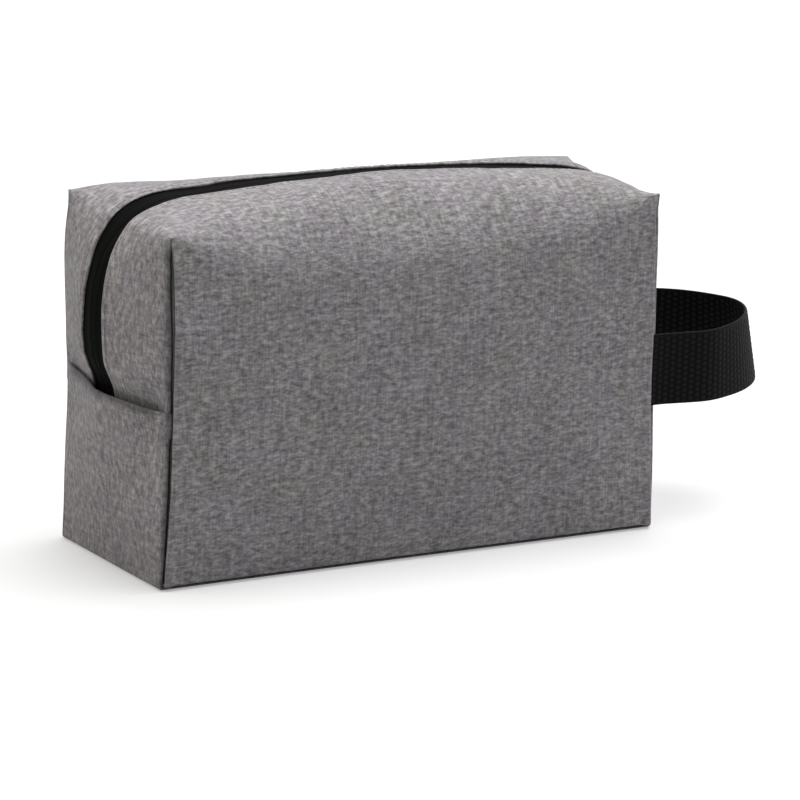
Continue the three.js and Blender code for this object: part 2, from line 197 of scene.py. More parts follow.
# How far each sewn corner stands out of its square place: height, then along X, Y and Z
CORNER_FADE = 1.6
CORNER_SHIFTS = {
    (LEFT, FRONT): (
        (0, 0.8, -1.3, 0),
        (36, 1.9, -2.1, 0.2),
        (64, 2.2, -2.2, 0.5),
        (95, 2.25, -2, 0.7),
        (115, 1.65, -1.2, 0.85),
        (140, 0.9, -0.3, 1),
    ),
    (RIGHT, FRONT): (
        (0, 1, 0.4, 0),
        (25, 0, 0.7, 0.1),
        (50, -1.2, 1, 0.2),
        (95, -2.3, 1.6, 0.5),
        (140, -3.2, 2.1, 0.7),
    ),
    (LEFT, BACK): (
        (0, -0.5, 0.2, 0),
        (55, 0.75, 0.3, 0.6),
        (90, -0.35, 0.3, 1),
        (124, -1.75, 0.4, 1.4),
        (140, -0.3, 0.4, 1.6),
    ),
    (RIGHT, BACK): ((0, 0, 0, 0), (140, 2.6, -1.8, -0.4)),
}

# How far the back's top edge is lifted: share of the half length, then height
BACK_LIFT = [
    (-1, 1.3),
    (-0.9, 3.6),
    (-0.75, 3.4),
    (-0.55, 3.2),
    (-0.3, 1.9),
    (0, 0),
    (0.35, 0.4),
    (0.73, 2.8),
    (0.9, 1.5),
    (1, 0.3),
]
BACK_LIFT_START = 90

# Round the top left corner each cloth's edge runs closer to the zip: by how much, where along the
# sewn edge, and over what reach
EDGE_NEARER = {FRONT: (2.4, 74, 26), BACK: (2.4, 58, 22)}

# The soft fold between an upper end and the top
SOFT_FOLD_SHARE = 0.4
SOFT_FOLD_LIMIT = 5
SOFT_FOLD_FADE = 9
SOFT_FOLD_AT_ZIP = 0.6
SOFT_FOLD_LEAST = 0.2
# A rounded bend reaches so many spreads along its line, and fades out over the last ones
BEND_REACH = 5
BEND_FADE = 2

# The zip's tapes and coil
TAPE_INSET = 1.2
TAPE_THICKNESS = 0.6
ZIP_TUCK = 4
TAPE_STEP = 0.42
TAPE_ROWS = (0.1, 0.35, 0.6, 0.9, 1.3, 1.8, 2.3, 2.8, 3.2, 3.6, 4, 4.5, 5.3, 6.2, 7.2, 8.5, 10.5, TAPE_REACH)
COIL_THICKNESS = 1.6
COIL_PITCH = 1.3
COIL_ROWS = (0.12, 0.4, 0.8, 1.4, 2, 2.6, 3, 3.3)
COIL_INSETS = (2.5, 2.15, 2, 1.95, 1.95, 2, 2.15, 2.5)
COIL_RIBS = 0.25
# The length that sets how many points the zip's strips have up each end
ZIP_ROWS_RISE = 76

# The coil pressed through the tape: height, then where it rises and falls and over what distance
TAPE_RIDGE = 0.22
RIDGE_EDGES = (0.2, 0.5, 4.2, 1)
TAPE_RIBS = 0.04
RIB_EDGES = (0.2, 0.4, 3.2, 0.6)

# Foam and lining
FOAM_INSET = 1.2
FOAM_THICKNESS = 2.4
FOAM_SET_BACK = 14
LAYER_STEP = 5
LAYER_ROWS = 12
LAYER_COLUMNS = 17
LAYER_SIDE_GAP = 0.3
# Distances from an end at which foam and lining have points
LAYER_PLACES = (0, 1.5, 3.5, 6, 9)
SLIT_CLEAR = 1.8
SLIT_START = 2
SLIT_CLEAR_REACH = 9
LINING_INSET = 3.9
LINING_THICKNESS = 0.5
LINING_SET_BACK = 9

# Stitches beside the zip
STITCH_LENGTH = 2.4
STITCH_GAP = 0.7
STITCH_RADIUS = 0.14
STITCH_DROP = 1
STITCH_WINDOW = 0.4
STITCH_SET_BACK = 2.6
STITCH_STEPS = 6
STITCH_RING = 6
# A stitch's middle goes from below the cloth to above it, and it is thinner at its ends and flat
STITCH_SINK = 0.8
STITCH_ARCH = 1.2
STITCH_END_SHARE = 0.55
STITCH_FLATNESS = 0.7
# How close the points are from which the line of stitches is read
STITCH_LINE_STEP = 0.8
STITCH_LINE_ROWS = 120
STITCH_SIDE = 0.5

# The webbing loop
LOOP_HINGE_X = 117.65
TAIL_LINE = 40.15
TAIL_INSIDE = 11
TAIL_STRAIGHT = 3
LEG_REACH = 20.35
LEG_DRIFT = 2.15
LOOP_REACH = 67
LOOP_CURVE_STEPS = 60
LOOP_SHARES = [
    (0.522, -0.917),
    (0.716, -0.738),
    (0.881, -0.476),
    (0.98, -0.19),
    (0.998, 0.06),
    (0.933, 0.321),
    (0.806, 0.583),
    (0.627, 0.762),
]
WEBBING_WIDTH = 30
WEBBING_THICKNESS = 1.3
WEBBING_MIDDLE = 67
WEBBING_WINDOW = 1
WEAVE_ALONG = 2.9
WEAVE_ACROSS = 2.35
WEAVE_HEIGHT = 0.32
WEAVE_STEP = 0.42
# How far in from its long edge the webbing has points, and the plain edge beside the pads
WEBBING_EDGE = (0, 0.03, 0.1, 0.22, 0.4, 0.65)
PLAIN_EDGE = 0.9
PLAIN_EDGE_FADE = 0.5
PLAIN_RIBS = 0.06
PAD_MIDDLE = 0.45
PAD_ROUNDING = (0.8, 0.7)
LOOP_LEAN = 2.9
LOOP_RISE = 0.1
KNEE_REACH = 5
ROOT_REACH = 4
JOIN_GAP = 0.04

# Edges that fold more than so many degrees shade as edges
SHEET_SHARP = 50
WEBBING_SHARP = 80
METAL_SHARP = 40
METAL_BEVEL_FROM = 30
METAL_FLAT = 2
SLIDER_BEVEL = 0.22
PULL_BEVEL = 0.3
BEVEL_SEGMENTS = 2
BEVEL_PROFILE = 0.6


def centripetal_curve(points, steps):
    """A centripetal Catmull-Rom curve through the points, with its ends extended straight."""
    points = np.array(points, float)
    ends = [2 * points[0] - points[1], 2 * points[-1] - points[-2]]
    line = np.vstack([ends[0], points, ends[1]])
    made = []
    for i in range(1, len(line) - 2):
        a, b, c, d = line[i - 1 : i + 3]
        before, here, after = [np.linalg.norm(q - p) ** 0.5 for p, q in ((a, b), (b, c), (c, d))]
        start = ((b - a) / before - (c - a) / (before + here) + (c - b) / here) * here
        end = ((c - b) / here - (d - b) / (here + after) + (d - c) / after) * here
        t = np.linspace(0, 1, steps, endpoint=False)[:, None]
        bent = (3 * (c - b) - 2 * start - end) * t**2
        made.append(b + start * t + bent + (2 * (b - c) + start + end) * t**3)
    return np.vstack([*made, points[-1:]])


def profile(x_share, knots):
    """A smooth curve through places and heights, read at a share of the half length."""
    curve = centripetal_curve([(share * HALF_LENGTH, height) for share, height in knots], CURVE_STEPS)
    return np.interp(np.asarray(x_share) * HALF_LENGTH, *curve.T)


def along_line(points):
    """The length of a line up to each of its points."""
    steps = np.linalg.norm(np.diff(points, axis=0), axis=1)
    return np.concatenate([[0], np.cumsum(steps)])


def stacked(*columns):
    """Coordinates given as grids, rows or columns, as one grid of points."""
    return np.stack(np.broadcast_arrays(*columns), axis=-1)


class Path:
    """A line with points close together, read by the share of its length."""

    def __init__(self, points):
        self.points = np.array(points, float)
        self.along = along_line(self.points)
        self.length = self.along[-1]

    def read(self, values, share):
        """Values that belong to the line's points, read at shares of its length."""
        place = np.asarray(share, float) * self.length
        return np.stack([np.interp(place, self.along, column) for column in values.T], axis=-1)

    def at(self, share):
        return self.read(self.points, share)

    def tangent(self, share, window=LINE_WINDOW):
        reach = window / self.length
        low = np.clip(np.asarray(share, float) - reach, 0, 1)
        high = np.clip(np.asarray(share, float) + reach, 0, 1)
        way = self.at(high) - self.at(low)
        return way / np.linalg.norm(way, axis=-1, keepdims=True)


def zip_line():
    """The zip's outer line seen from the front, as x and z."""
    rises = [(x * HALF_LENGTH, SEAM_HEIGHT + rise * SEAM_RISE) for x, rise in ZIP_LINE_SHARES]
    end_x = HALF_LENGTH + ZIP_END_SWELL
    curve = centripetal_curve([*rises, (end_x, CORNER_HEIGHT - ZIP_END_DROP)], ZIP_CURVE_STEPS)
    low = np.linspace(curve[-1], (end_x, SEAM_HEIGHT), ZIP_LOW_STEPS)[1:]
    return Path(np.vstack([curve, low]))


ZIP = zip_line()
EDGE_LENGTH = 2 * SEAM_RISE + BAG_LENGTH


def smooth(value):
    value = np.clip(value, 0, 1)
    return value * value * (3 - 2 * value)


def ripple(u, v, seed, waves):
    """A smooth random height over a flat place in millimetres, the same each run."""
    height, longest, shortest = waves
    random = np.random.default_rng(seed)
    total = np.zeros(np.broadcast(u, v).shape)
    for _ in range(RIPPLE_WAVES):
        size = longest * (shortest / longest) ** random.random()
        angle = random.random() * 2 * math.pi
        phase = random.random() * 2 * math.pi
        total += np.sin((u * math.cos(angle) + v * math.sin(angle)) * 2 * math.pi / size + phase)
    return height * (total / math.sqrt(RIPPLE_WAVES))


def uneven(u, v, side):
    """How far the cloth of one half stands out of its even form."""
    return ripple(u, v, WIDE_SEED + side, WIDE_WAVES) + ripple(u, v, FINE_SEED + side, FINE_WAVES)


class Stations:
    """Places along the sewn edge: up the left corner, along the top, and down the right corner."""

    def __init__(self, heights, places):
        heights = np.array(heights, float)
        places = np.array(places, float)
        rise = (heights - SEAM_HEIGHT) / SEAM_RISE
        top = places[1:-1] / HALF_LENGTH
        self.x = np.concatenate([-np.ones(len(rise)), top, np.ones(len(rise))])
        self.rise = np.concatenate([rise, np.ones(len(top)), rise[::-1]])
        left = rise * SEAM_RISE
        middle = SEAM_RISE + (top + 1) * HALF_LENGTH
        right = EDGE_LENGTH - rise[::-1] * SEAM_RISE
        self.edge = np.concatenate([left, middle, right])
        self.first_top = len(rise) - 1
        self.last_top = len(rise) + len(top)

    def zip_points(self, inset):
        """The middle of the zip at each station, and its outward direction."""
        share = np.clip(self.edge / EDGE_LENGTH, 0, 1)
        tangent = ZIP.tangent(share)
        normal = np.stack([-tangent[..., 1], tangent[..., 0]], axis=-1)
        low = (np.abs(self.x) == 1) & (self.rise <= 0)
        normal[low] = np.stack([self.x[low], np.zeros(low.sum())], axis=-1)
        middle = ZIP.at(share)
        middle[:, 1] += np.where(low, self.rise * SEAM_RISE, 0)
        return middle[None] - inset[:, None, None] * normal[None], normal

    def push_out(self, points, amount):
        """Moves points away from the zip's line, seen from the front."""
        _, normal = self.zip_points(np.zeros(1))
        points[..., 0] += amount * normal[:, 0]
        points[..., 2] += amount * normal[:, 1]

    def edge_points(self, inset):
        x = self.x[None] * (HALF_LENGTH - inset[:, None])
        z = SEAM_HEIGHT + self.rise[None] * (CORNER_HEIGHT - inset[:, None] - SEAM_HEIGHT)
        return np.stack([x, z], axis=-1)


def roll_radius(x_share, inset, side):
    """The radius between the top and a face: full in the middle, and nought at the corners."""
    radius = FRONT_ROLL if side == FRONT else BACK_ROLL
    return np.maximum(radius * (1 - np.abs(x_share) ** ROLL_FADE) - ROLL_INSET_SHARE * inset, 1e-6)


def rolled(points, distance, radius, on_top, side):
    """Moves points of the top, or of a face, onto the soft roll between them."""
    near = np.clip(distance / radius, 0, 1)
    turn = 0.5 + (0.5 if on_top else -0.5) * near
    inward = turn**2 * radius - (distance if on_top else 0)
    down = (1 - turn) ** 2 * radius - (0 if on_top else distance)
    inside = distance < radius
    points[..., 1] -= np.where(inside, side * inward, 0)
    points[..., 2] -= np.where(inside, down, 0)
    return points


def top_points(stations, from_zip, inset, side):
    """Places on the top and the upper ends: rows go from the zip to the sewn edge."""
    inset = np.asarray(inset, float)
    middle, _ = stations.zip_points(inset)
    edge = stations.edge_points(inset)
    depth = side * (HALF_DEPTH - inset)[:, None] - ZIP_SET_BACK
    across = stacked(edge[..., 0] - middle[..., 0], depth)
    span = np.sqrt((across**2).sum(-1) + (edge[..., 1] - middle[..., 1]) ** 2)
    from_zip = np.broadcast_to(from_zip, span.shape)
    share = np.clip(from_zip / span, 0, 1)
    ridge = profile(stations.x, FRONT_RIDGE) if side == FRONT else BACK_RIDGE
    ridge = np.where(np.abs(stations.x) < 1, ridge, np.minimum(ridge, END_SWELL))
    swell = ridge * np.sin(np.pi * share)
    x = middle[..., 0] + across[..., 0] * share
    z = middle[..., 1] + (edge[..., 1] - middle[..., 1]) * share
    points = stacked(x, ZIP_SET_BACK + across[..., 1] * share, z)
    stations.push_out(points, swell)
    radius = roll_radius(stations.x[None], inset[:, None], side)
    return rolled(points, span * (1 - share), radius, True, side)


def spans(stations, inset, side):
    """The distance from the zip's middle to the sewn edge at each station."""
    middle, _ = stations.zip_points(np.array([inset], float))
    edge = stations.edge_points(np.array([inset], float))
    depth = side * (HALF_DEPTH - inset) - ZIP_SET_BACK
    return np.sqrt(((edge[0] - middle[0]) ** 2).sum(-1) + depth**2)


def face_points(x, z, inset, side):
    """Places on the front or back face."""
    share = x / HALF_LENGTH
    swell = FACE_SWELL * (1 - share**2) * np.sin(np.pi * z / CORNER_HEIGHT)
    points = stacked(share * (HALF_LENGTH - inset), side * (HALF_DEPTH - inset + swell), z)
    radius = roll_radius(share, inset, side)
    return rolled(points, CORNER_HEIGHT - inset - z, radius, False, side)


def end_swell(y, z, end):
    """How far a lower end stands out at a place across the depth."""
    in_front = (ZIP_SET_BACK - y) / (HALF_DEPTH + ZIP_SET_BACK)
    behind = (y - ZIP_SET_BACK) / (HALF_DEPTH - ZIP_SET_BACK)
    share = np.clip(np.where(y < ZIP_SET_BACK, in_front, behind), 0, 1)
    peak = LEFT_SEAM_SWELL if end == LEFT else ZIP_END_SWELL
    across = peak * (1 - share) + END_SWELL * np.sin(np.pi * share)
    rise = np.clip(z / SEAM_HEIGHT, 0, 1)
    swell = across * np.sin(np.pi / 2 * rise) * np.minimum(rise / END_SWELL_RISE, 1)
    if end == LEFT:
        near_hem = smooth((z - SEAM_HEIGHT + HEM_HOLLOW_RISE) / HEM_HOLLOW_RISE)
        swell = swell - HEM_HOLLOW * np.where(y > ZIP_SET_BACK, np.sin(np.pi * share), 0) * near_hem
    return swell


def lip(distance, radius):
    """A seam's rounded lip: how far a place stands from the corner, and how far it is turned in."""
    share = radius / LIP_RADIUS
    run = LIP_RUN * share
    arc = LIP_TURN * radius
    turn = LIP_TURN * (1 - np.clip((distance - run) / np.maximum(arc, 1e-9), 0, 1))
    reach = (1 + math.sqrt(2)) * radius
    inward = np.maximum(run - distance, 0) * math.sqrt(0.5)
    on_lip = reach - radius * np.sin(turn) + inward
    place = np.where(distance < run + arc, on_lip, reach + distance - run - arc)
    gap = LIP_GAP * share * smooth(distance / (LIP_RUN / 2))
    return place + gap, radius * (1 - np.cos(turn)) + inward


def lip_painted_shade(distance, radius, fade_share=PAINTED_SHADE_FADE):
    """Painted shade on a lip: one on the part that is turned in, and nought off it."""
    share = radius / LIP_RADIUS
    fade = fade_share * LIP_TURN * np.maximum(radius, 1e-6)
    return share * (1 - smooth((distance - LIP_RUN * share) / fade))


def seam_shade(distance):
    """The faint painted shade on an end's cloth beside its corner seam."""
    return SEAM_SHADE * (1 - smooth(distance / SEAM_SHADE_REACH))


def spaced(distance, step):
    """Even places over a distance, about a step apart, with both ends."""
    return np.linspace(0, distance, max(2, round(distance / step) + 1))


# Distances from a seam at which the cloth has points: close together on the lip, then wider
LIP_END = LIP_RUN + LIP_TURN * LIP_RADIUS
LIP_PLACES = [0, LIP_RUN / 2, *np.linspace(LIP_RUN, LIP_END, LIP_STEPS + 1)]
LIP_PLACES += [LIP_END + further for further in LIP_REST]


def places_from(close, reach):
    """Distances from a seam or an edge: the close ones first, then even ones up to a reach."""
    return np.concatenate([close, close[-1] + spaced(reach - close[-1], GRID_STEP)[1:]])


def mirrored(half, whole):
    """Places over a whole width, from those over its first half, which end at its middle."""
    return np.concatenate([half, whole - half[-2::-1]])


def in_scene(name, data):
    """A new object in the scene for a mesh, a lamp or a camera."""
    made = bpy.data.objects.new(name, data)
    bpy.context.scene.collection.objects.link(made)
    return made


def shaded_smooth(mesh):
    mesh.polygons.foreach_set("use_smooth", np.ones(len(mesh.polygons), bool))


def new_piece(name, points, faces, uvs=None, sharp=None, **values):
    """An object whose closed mesh is given in millimetres, with named values for its points."""
    mesh = bpy.data.meshes.new(name)
    mesh.from_pydata((points * MM).tolist(), [], faces)
    mesh.validate()
    if uvs is not None:
        set_uvs(mesh, uvs)
    for label, numbers in values.items():
        layer = mesh.attributes.new(label, "FLOAT", "POINT")
        layer.data.foreach_set("value", numbers.astype(np.float32))
    shaded_smooth(mesh)
    made = in_scene(name, mesh)
    turn_out(made)
    if sharp is not None:
        sharpen(made, sharp)
    return made


def finished_mesh(name, outer, faces, thickness, uvs, painted_shade=None):
    """A closed sheet: the outer points, the same points a thickness further in, and a rim."""
    inner = outer - point_normals(outer, faces) * thickness
    count = len(outer)
    quads = [tuple(face) for face in faces]
    inside = [tuple(i + count for i in reversed(face)) for face in faces]
    used = {(a, b) for face in quads for a, b in zip(face, face[1:] + face[:1])}
    rim = sorted((a, a + count, b + count, b) for a, b in used if (b, a) not in used)
    # Each point's painted shade goes to both its outer and its inner copy
    values = {} if painted_shade is None else {"painted_shade": np.concatenate([painted_shade, painted_shade])}
    points = np.vstack([outer, inner])
    return new_piece(name, points, [*quads, *inside, *rim], np.vstack([uvs, uvs]), SHEET_SHARP, **values)


def point_normals(points, faces):
    corners = points[np.array(faces)]
    normal = np.cross(corners[:, 2] - corners[:, 0], corners[:, 3] - corners[:, 1])
    total = np.zeros_like(points)
    for k in range(4):
        np.add.at(total, np.array(faces)[:, k], normal)
    return total / np.maximum(np.linalg.norm(total, axis=1, keepdims=True), 1e-12)


def set_uvs(mesh, uvs):
    """UVs in metres of cloth, so that the weave has its real size and stays on the cloth."""
    layer = mesh.uv_layers.new(name="weave")
    loops = np.zeros(len(mesh.loops), np.int32)
    mesh.loops.foreach_get("vertex_index", loops)
    layer.uv.foreach_set("vector", (np.asarray(uvs)[loops] * MM).astype(np.float32).ravel())


def turn_out(made):
    """Turns all faces of a closed mesh outwards."""
    work = bmesh.new()
    work.from_mesh(made.data)
    bmesh.ops.recalc_face_normals(work, faces=work.faces)
    work.to_mesh(made.data)
    work.free()


def folded_edges(work, angle):
    """The edges whose two faces fold more than an angle in degrees."""
    least = math.radians(angle)
    return [edge for edge in work.edges if len(edge.link_faces) == 2 and edge.calc_face_angle(0) > least]


def sharpen(made, angle):
    """Marks the edges that fold more than an angle, so that they shade as edges."""
    work = bmesh.new()
    work.from_mesh(made.data)
    for edge in folded_edges(work, angle):
        edge.smooth = False
    work.to_mesh(made.data)
    work.free()


def grid_index(points):
    """The numbers of a grid of points."""
    return np.arange(points[..., 0].size).reshape(points.shape[:2])


def grid_faces(index):
    """The quads of a grid of point numbers."""
    a, b, c, d = index[:-1, :-1], index[1:, :-1], index[1:, 1:], index[:-1, 1:]
    return np.stack([a, b, c, d], axis=-1).reshape(-1, 4).tolist()


def tube_faces(index, turned=False):
    """The faces of rings of points joined to a tube, with a cap at each end."""
    around = grid_faces(np.concatenate([index, index[:, :1]], axis=1))
    if turned:
        around = [(a, d, c, b) for a, b, c, d in around]
    return [*around, index[0, ::-1].tolist(), index[-1].tolist()]


def grid_sheet(name, points, thickness, uvs):
    """A closed sheet from one grid of points."""
    outer = settled(points.reshape(-1, 3))
    faces = facing_out(outer, grid_faces(grid_index(points)))
    return finished_mesh(name, outer, faces, thickness, uvs.reshape(-1, 2))


def joined(stations, top, face, span, distances, across, z):
    """The grid of the top and that of the face under it as one sheet: points, faces and UVs."""
    top_index = grid_index(top)
    edge_row = top_index[-1:, stations.first_top : stations.last_top + 1]
    face_index = np.vstack([edge_row, top_index.size + grid_index(face)])
    outer = np.vstack([top.reshape(-1, 3), face.reshape(-1, 3)])
    top_uv = stacked(stations.edge - EDGE_LENGTH / 2, CORNER_HEIGHT + span - distances)
    face_uv = stacked(across, z[:, None])
    uvs = np.vstack([top_uv.reshape(-1, 2), face_uv.reshape(-1, 2)])
    return outer, grid_faces(top_index) + grid_faces(face_index), uvs


def edge_wander(stations, side):
    """How far the cloth's edge beside the zip strays from its even distance."""
    wander = ripple(stations.edge, 0 * stations.edge, EDGE_SEED + side, EDGE_WAVES)
    nearer, middle, reach = EDGE_NEARER[side]
    return wander - nearer * np.exp(-(((stations.edge - middle) / reach) ** 2))


def cloth_half(name, side):
    """The front or back cloth: its face, half the top, and half of each upper end, in one sheet."""
    from_left = mirrored(places_from(LIP_PLACES, HALF_LENGTH), BAG_LENGTH)
    rows_z = places_from(LIP_PLACES, CORNER_HEIGHT)
    stations = Stations(rows_z[rows_z > SEAM_HEIGHT - EAR_TUCK], from_left - HALF_LENGTH)
    # Rows of the top: the fold's return, the fold, then from the mouth to the sewn edge
    turn = np.linspace(math.pi, 0, FOLD_STEPS + 1)
    edge_reach = MOUTH_WIDTH / 2 + FOLD_RADIUS
    back = edge_reach + np.linspace(FOLD_RETURN, 0, FOLD_RETURN_STEPS + 1)[:-1]
    mouth = edge_reach + np.array(MOUTH_ROWS)
    close = np.concatenate([back, edge_reach - FOLD_RADIUS * np.sin(turn), mouth])
    span = spans(stations, 0, side)
    is_ear = np.abs(stations.x) == 1
    heights = SEAM_HEIGHT + stations.rise * SEAM_RISE
    radius = np.where(is_ear, LIP_RADIUS * np.clip((CORNER_HEIGHT - heights) / LIP_FADE, 0, 1), 0)
    lips = np.array(LIP_PLACES)[:, None]
    lip_from, lip_in = lip(lips, radius)
    middle_rows = round((span.mean() - mouth[-1] - LIP_PLACES[-1]) / GRID_STEP)
    shares = np.linspace(0, 1, middle_rows + 1)[1:-1, None]
    rows = [np.repeat(close[:, None], len(span), axis=1)]
    rows.append(mouth[-1] + (span - lip_from[-1] - mouth[-1]) * shares)
    rows.append(span - lip_from[::-1])
    distances = np.vstack(rows)
    insets = np.zeros(len(distances))
    insets[: len(back)] = 2 * FOLD_RADIUS
    insets[len(back) : len(back) + len(turn)] = FOLD_RADIUS * (1 - np.cos(turn))
    fading = np.clip((mouth[-1] + WANDER_REACH - distances) / WANDER_FADE, 0, 1)
    points = top_points(stations, distances + edge_wander(stations, side) * fading, insets, side)
    points = softened(points, stations, distances, span)
    turned = np.zeros_like(distances)
    turned[-len(lips) :] = lip_in[::-1]
    stations.push_out(points, -turned)
    from_edge = span - distances
    recessed(points, stations, from_edge)
    # Where the top is turned in at the corner seams or lies behind a hem, it is darker: painted shade
    top_painted_shade = np.zeros_like(distances)
    top_painted_shade[-len(lips) :] = lip_painted_shade(lips, radius)[::-1]
    top_painted_shade = np.maximum(top_painted_shade, seam_shade(from_edge) * (radius / LIP_RADIUS))
    top_painted_shade *= np.where(stations.x > 0, PAINTED_SHADE_RIGHT, 1)
    painted_shade_behind_hem = is_ear * HEM_SHADE * (1 - smooth((heights - SEAM_HEIGHT) / HEM_SHADE_FADE))
    top_painted_shade = np.maximum(top_painted_shade, painted_shade_behind_hem * smooth(from_edge / HEM_FADE))
    # The face, from just under the top edge down to the base
    z = rows_z[::-1][1:]
    fade = (np.clip((CORNER_HEIGHT - z) / LIP_FADE, 0, 1) * LIP_RADIUS)[:, None]
    end = np.where(from_left < HALF_LENGTH, LEFT, RIGHT)
    near = np.minimum(from_left, BAG_LENGTH - from_left)
    place, turned_in = lip(near, fade)
    low_place, low_in = lip(z[:, None], LIP_RADIUS)
    x = end * (HALF_LENGTH - place)
    face = face_points(x, low_place, 0, side)
    face[..., 1] -= side * (turned_in + low_in)
    roll_eased(points, face, stations)
    # The face's lips at the corners and along the base get painted shade too
    side_painted_shade = lip_painted_shade(near, fade, FACE_PAINTED_SHADE_FADE) * np.where(end == LEFT, 1, PAINTED_SHADE_RIGHT)
    face_painted_shade = np.maximum(side_painted_shade, BASE_PAINTED_SHADE * lip_painted_shade(z, LIP_RADIUS)[:, None])
    outer, faces, uvs = joined(stations, points, face, span, distances, from_left - HALF_LENGTH, z)
    faces = facing_out(outer, faces)
    outer = settled(undulated(outer, faces, uvs, side))
    painted_shade = np.concatenate([top_painted_shade.ravel(), face_painted_shade.ravel()])
    return finished_mesh(name, outer, faces, CLOTH_THICKNESS, uvs, painted_shade)


def bend_rounded(line, middle, spread):
    """A line of points with its bend at one of them rounded over a spread."""
    along = along_line(line)
    along -= along[middle]
    weight = np.gradient(along)
    near = np.abs(along) < BEND_REACH * spread
    gap = along[near][:, None] - along[None]
    share = weight[None] * np.exp(-0.5 * (gap / spread) ** 2)
    share /= share.sum(1, keepdims=True)
    keep = smooth((BEND_REACH * spread - np.abs(along[near])) / (BEND_FADE * spread))[:, None]
    made = line.copy()
    made[near] = line[near] * (1 - keep) + (share @ line) * keep
    return made


def roll_eased(top, face, stations):
    """Rounds the line along which the top goes over into the face, less and less towards the corners."""
    for column in range(face.shape[1]):
        station = stations.first_top + column
        spread = ROLL_EASE * (1 - np.abs(stations.x[station]) ** ROLL_FADE)
        if spread >= ROLL_EASE_LEAST:
            line = bend_rounded(np.vstack([top[:, station], face[:, column]]), len(top) - 1, spread)
            top[:, station] = line[: len(top)]
            face[:, column] = line[len(top) :]


def softened(points, stations, from_zip, span):
    """Rounds the fold between an upper end and the top, most of all midway from the corner to the zip."""
    for corner in (stations.first_top, stations.last_top):
        for row in range(len(points)):
            distance = from_zip[row, corner]
            spread = min(SOFT_FOLD_SHARE * (span[corner] - distance), SOFT_FOLD_LIMIT)
            off_zip = smooth((distance - TAPE_REACH) / SOFT_FOLD_FADE)
            spread *= SOFT_FOLD_AT_ZIP + (1 - SOFT_FOLD_AT_ZIP) * off_zip
            if spread >= SOFT_FOLD_LEAST:
                points[row] = bend_rounded(points[row], corner, spread)
    return points


def recessed(points, stations, from_edge):
    """The upper ends tuck in behind the hem of the lower end, away from the corners."""
    deepest = np.where(stations.x < 0, EAR_RECESS_LEFT, EAR_RECESS_RIGHT)
    depth = deepest * (1 - smooth(stations.rise * SEAM_RISE / EAR_RECESS_RISE))
    depth = np.where(np.abs(stations.x) == 1, depth, 0) * smooth(from_edge / HEM_FADE)
    stations.push_out(points, -depth)


def shaped_top(stations, from_zip, inset, side, span):
    """Places on the top, with the soft folds at its ends and tucked in behind the hems."""
    points = top_points(stations, from_zip, inset, side)
    points = softened(points, stations, from_zip, span)
    recessed(points, stations, span - from_zip)
    return points


def settled(points):
    """No sewn bag stands quite square: each corner is pulled a little out of its place."""
    points = np.array(points, float)
    x, y, z = points.T
    reach = np.clip(np.abs(x) / HALF_LENGTH, 0, 1) ** CORNER_FADE
    reach = reach * np.clip(np.abs(y) / HALF_DEPTH, 0, 1) ** CORNER_FADE
    moved = points.copy()
    for (end, side), knots in CORNER_SHIFTS.items():
        here = (np.sign(x) == end) & (np.sign(y) == side)
        heights, *shifts = np.array(knots, float).T
        if len(heights) > 2:
            heights, *shifts = centripetal_curve(knots, CURVE_STEPS).T
        shift = np.stack([np.interp(z, heights, column) for column in shifts], axis=-1)
        moved += shift * (reach * here)[:, None]
    behind = np.clip((y - ZIP_SET_BACK) / (HALF_DEPTH - ZIP_SET_BACK), 0, 1)
    raised = smooth((z - BACK_LIFT_START) / (CORNER_HEIGHT - BACK_LIFT_START))
    moved[:, 2] += profile(np.clip(x / HALF_LENGTH, -1, 1), BACK_LIFT) * behind * raised
    return moved


def undulated(points, faces, uvs, side):
    """Taut cloth over foam still lies a little uneven, and stands up in a low ridge beside its seams."""
    u, v = uvs.T
    height = uneven(u, v, side)
    off_floor = smooth(points[:, 2] / FLOOR_FADE)
    off_seam = smooth((HALF_LENGTH + CORNER_START - np.abs(u)) / CORNER_REACH)
    height = height * off_floor * (CORNER_SHARE + (1 - CORNER_SHARE) * off_seam)
    from_corner = np.clip((HALF_LENGTH - np.abs(u) - LIP_RUN) / SEAM_RIDGE_REACH, 0, 1)
    on_face = smooth((CORNER_HEIGHT - v) / RIDGE_TOP_FADE)
    height += SEAM_RIDGE * np.sin(np.pi * from_corner) ** 2 * on_face * (np.abs(u) < HALF_LENGTH)
    return points + point_normals(points, faces) * height[:, None]


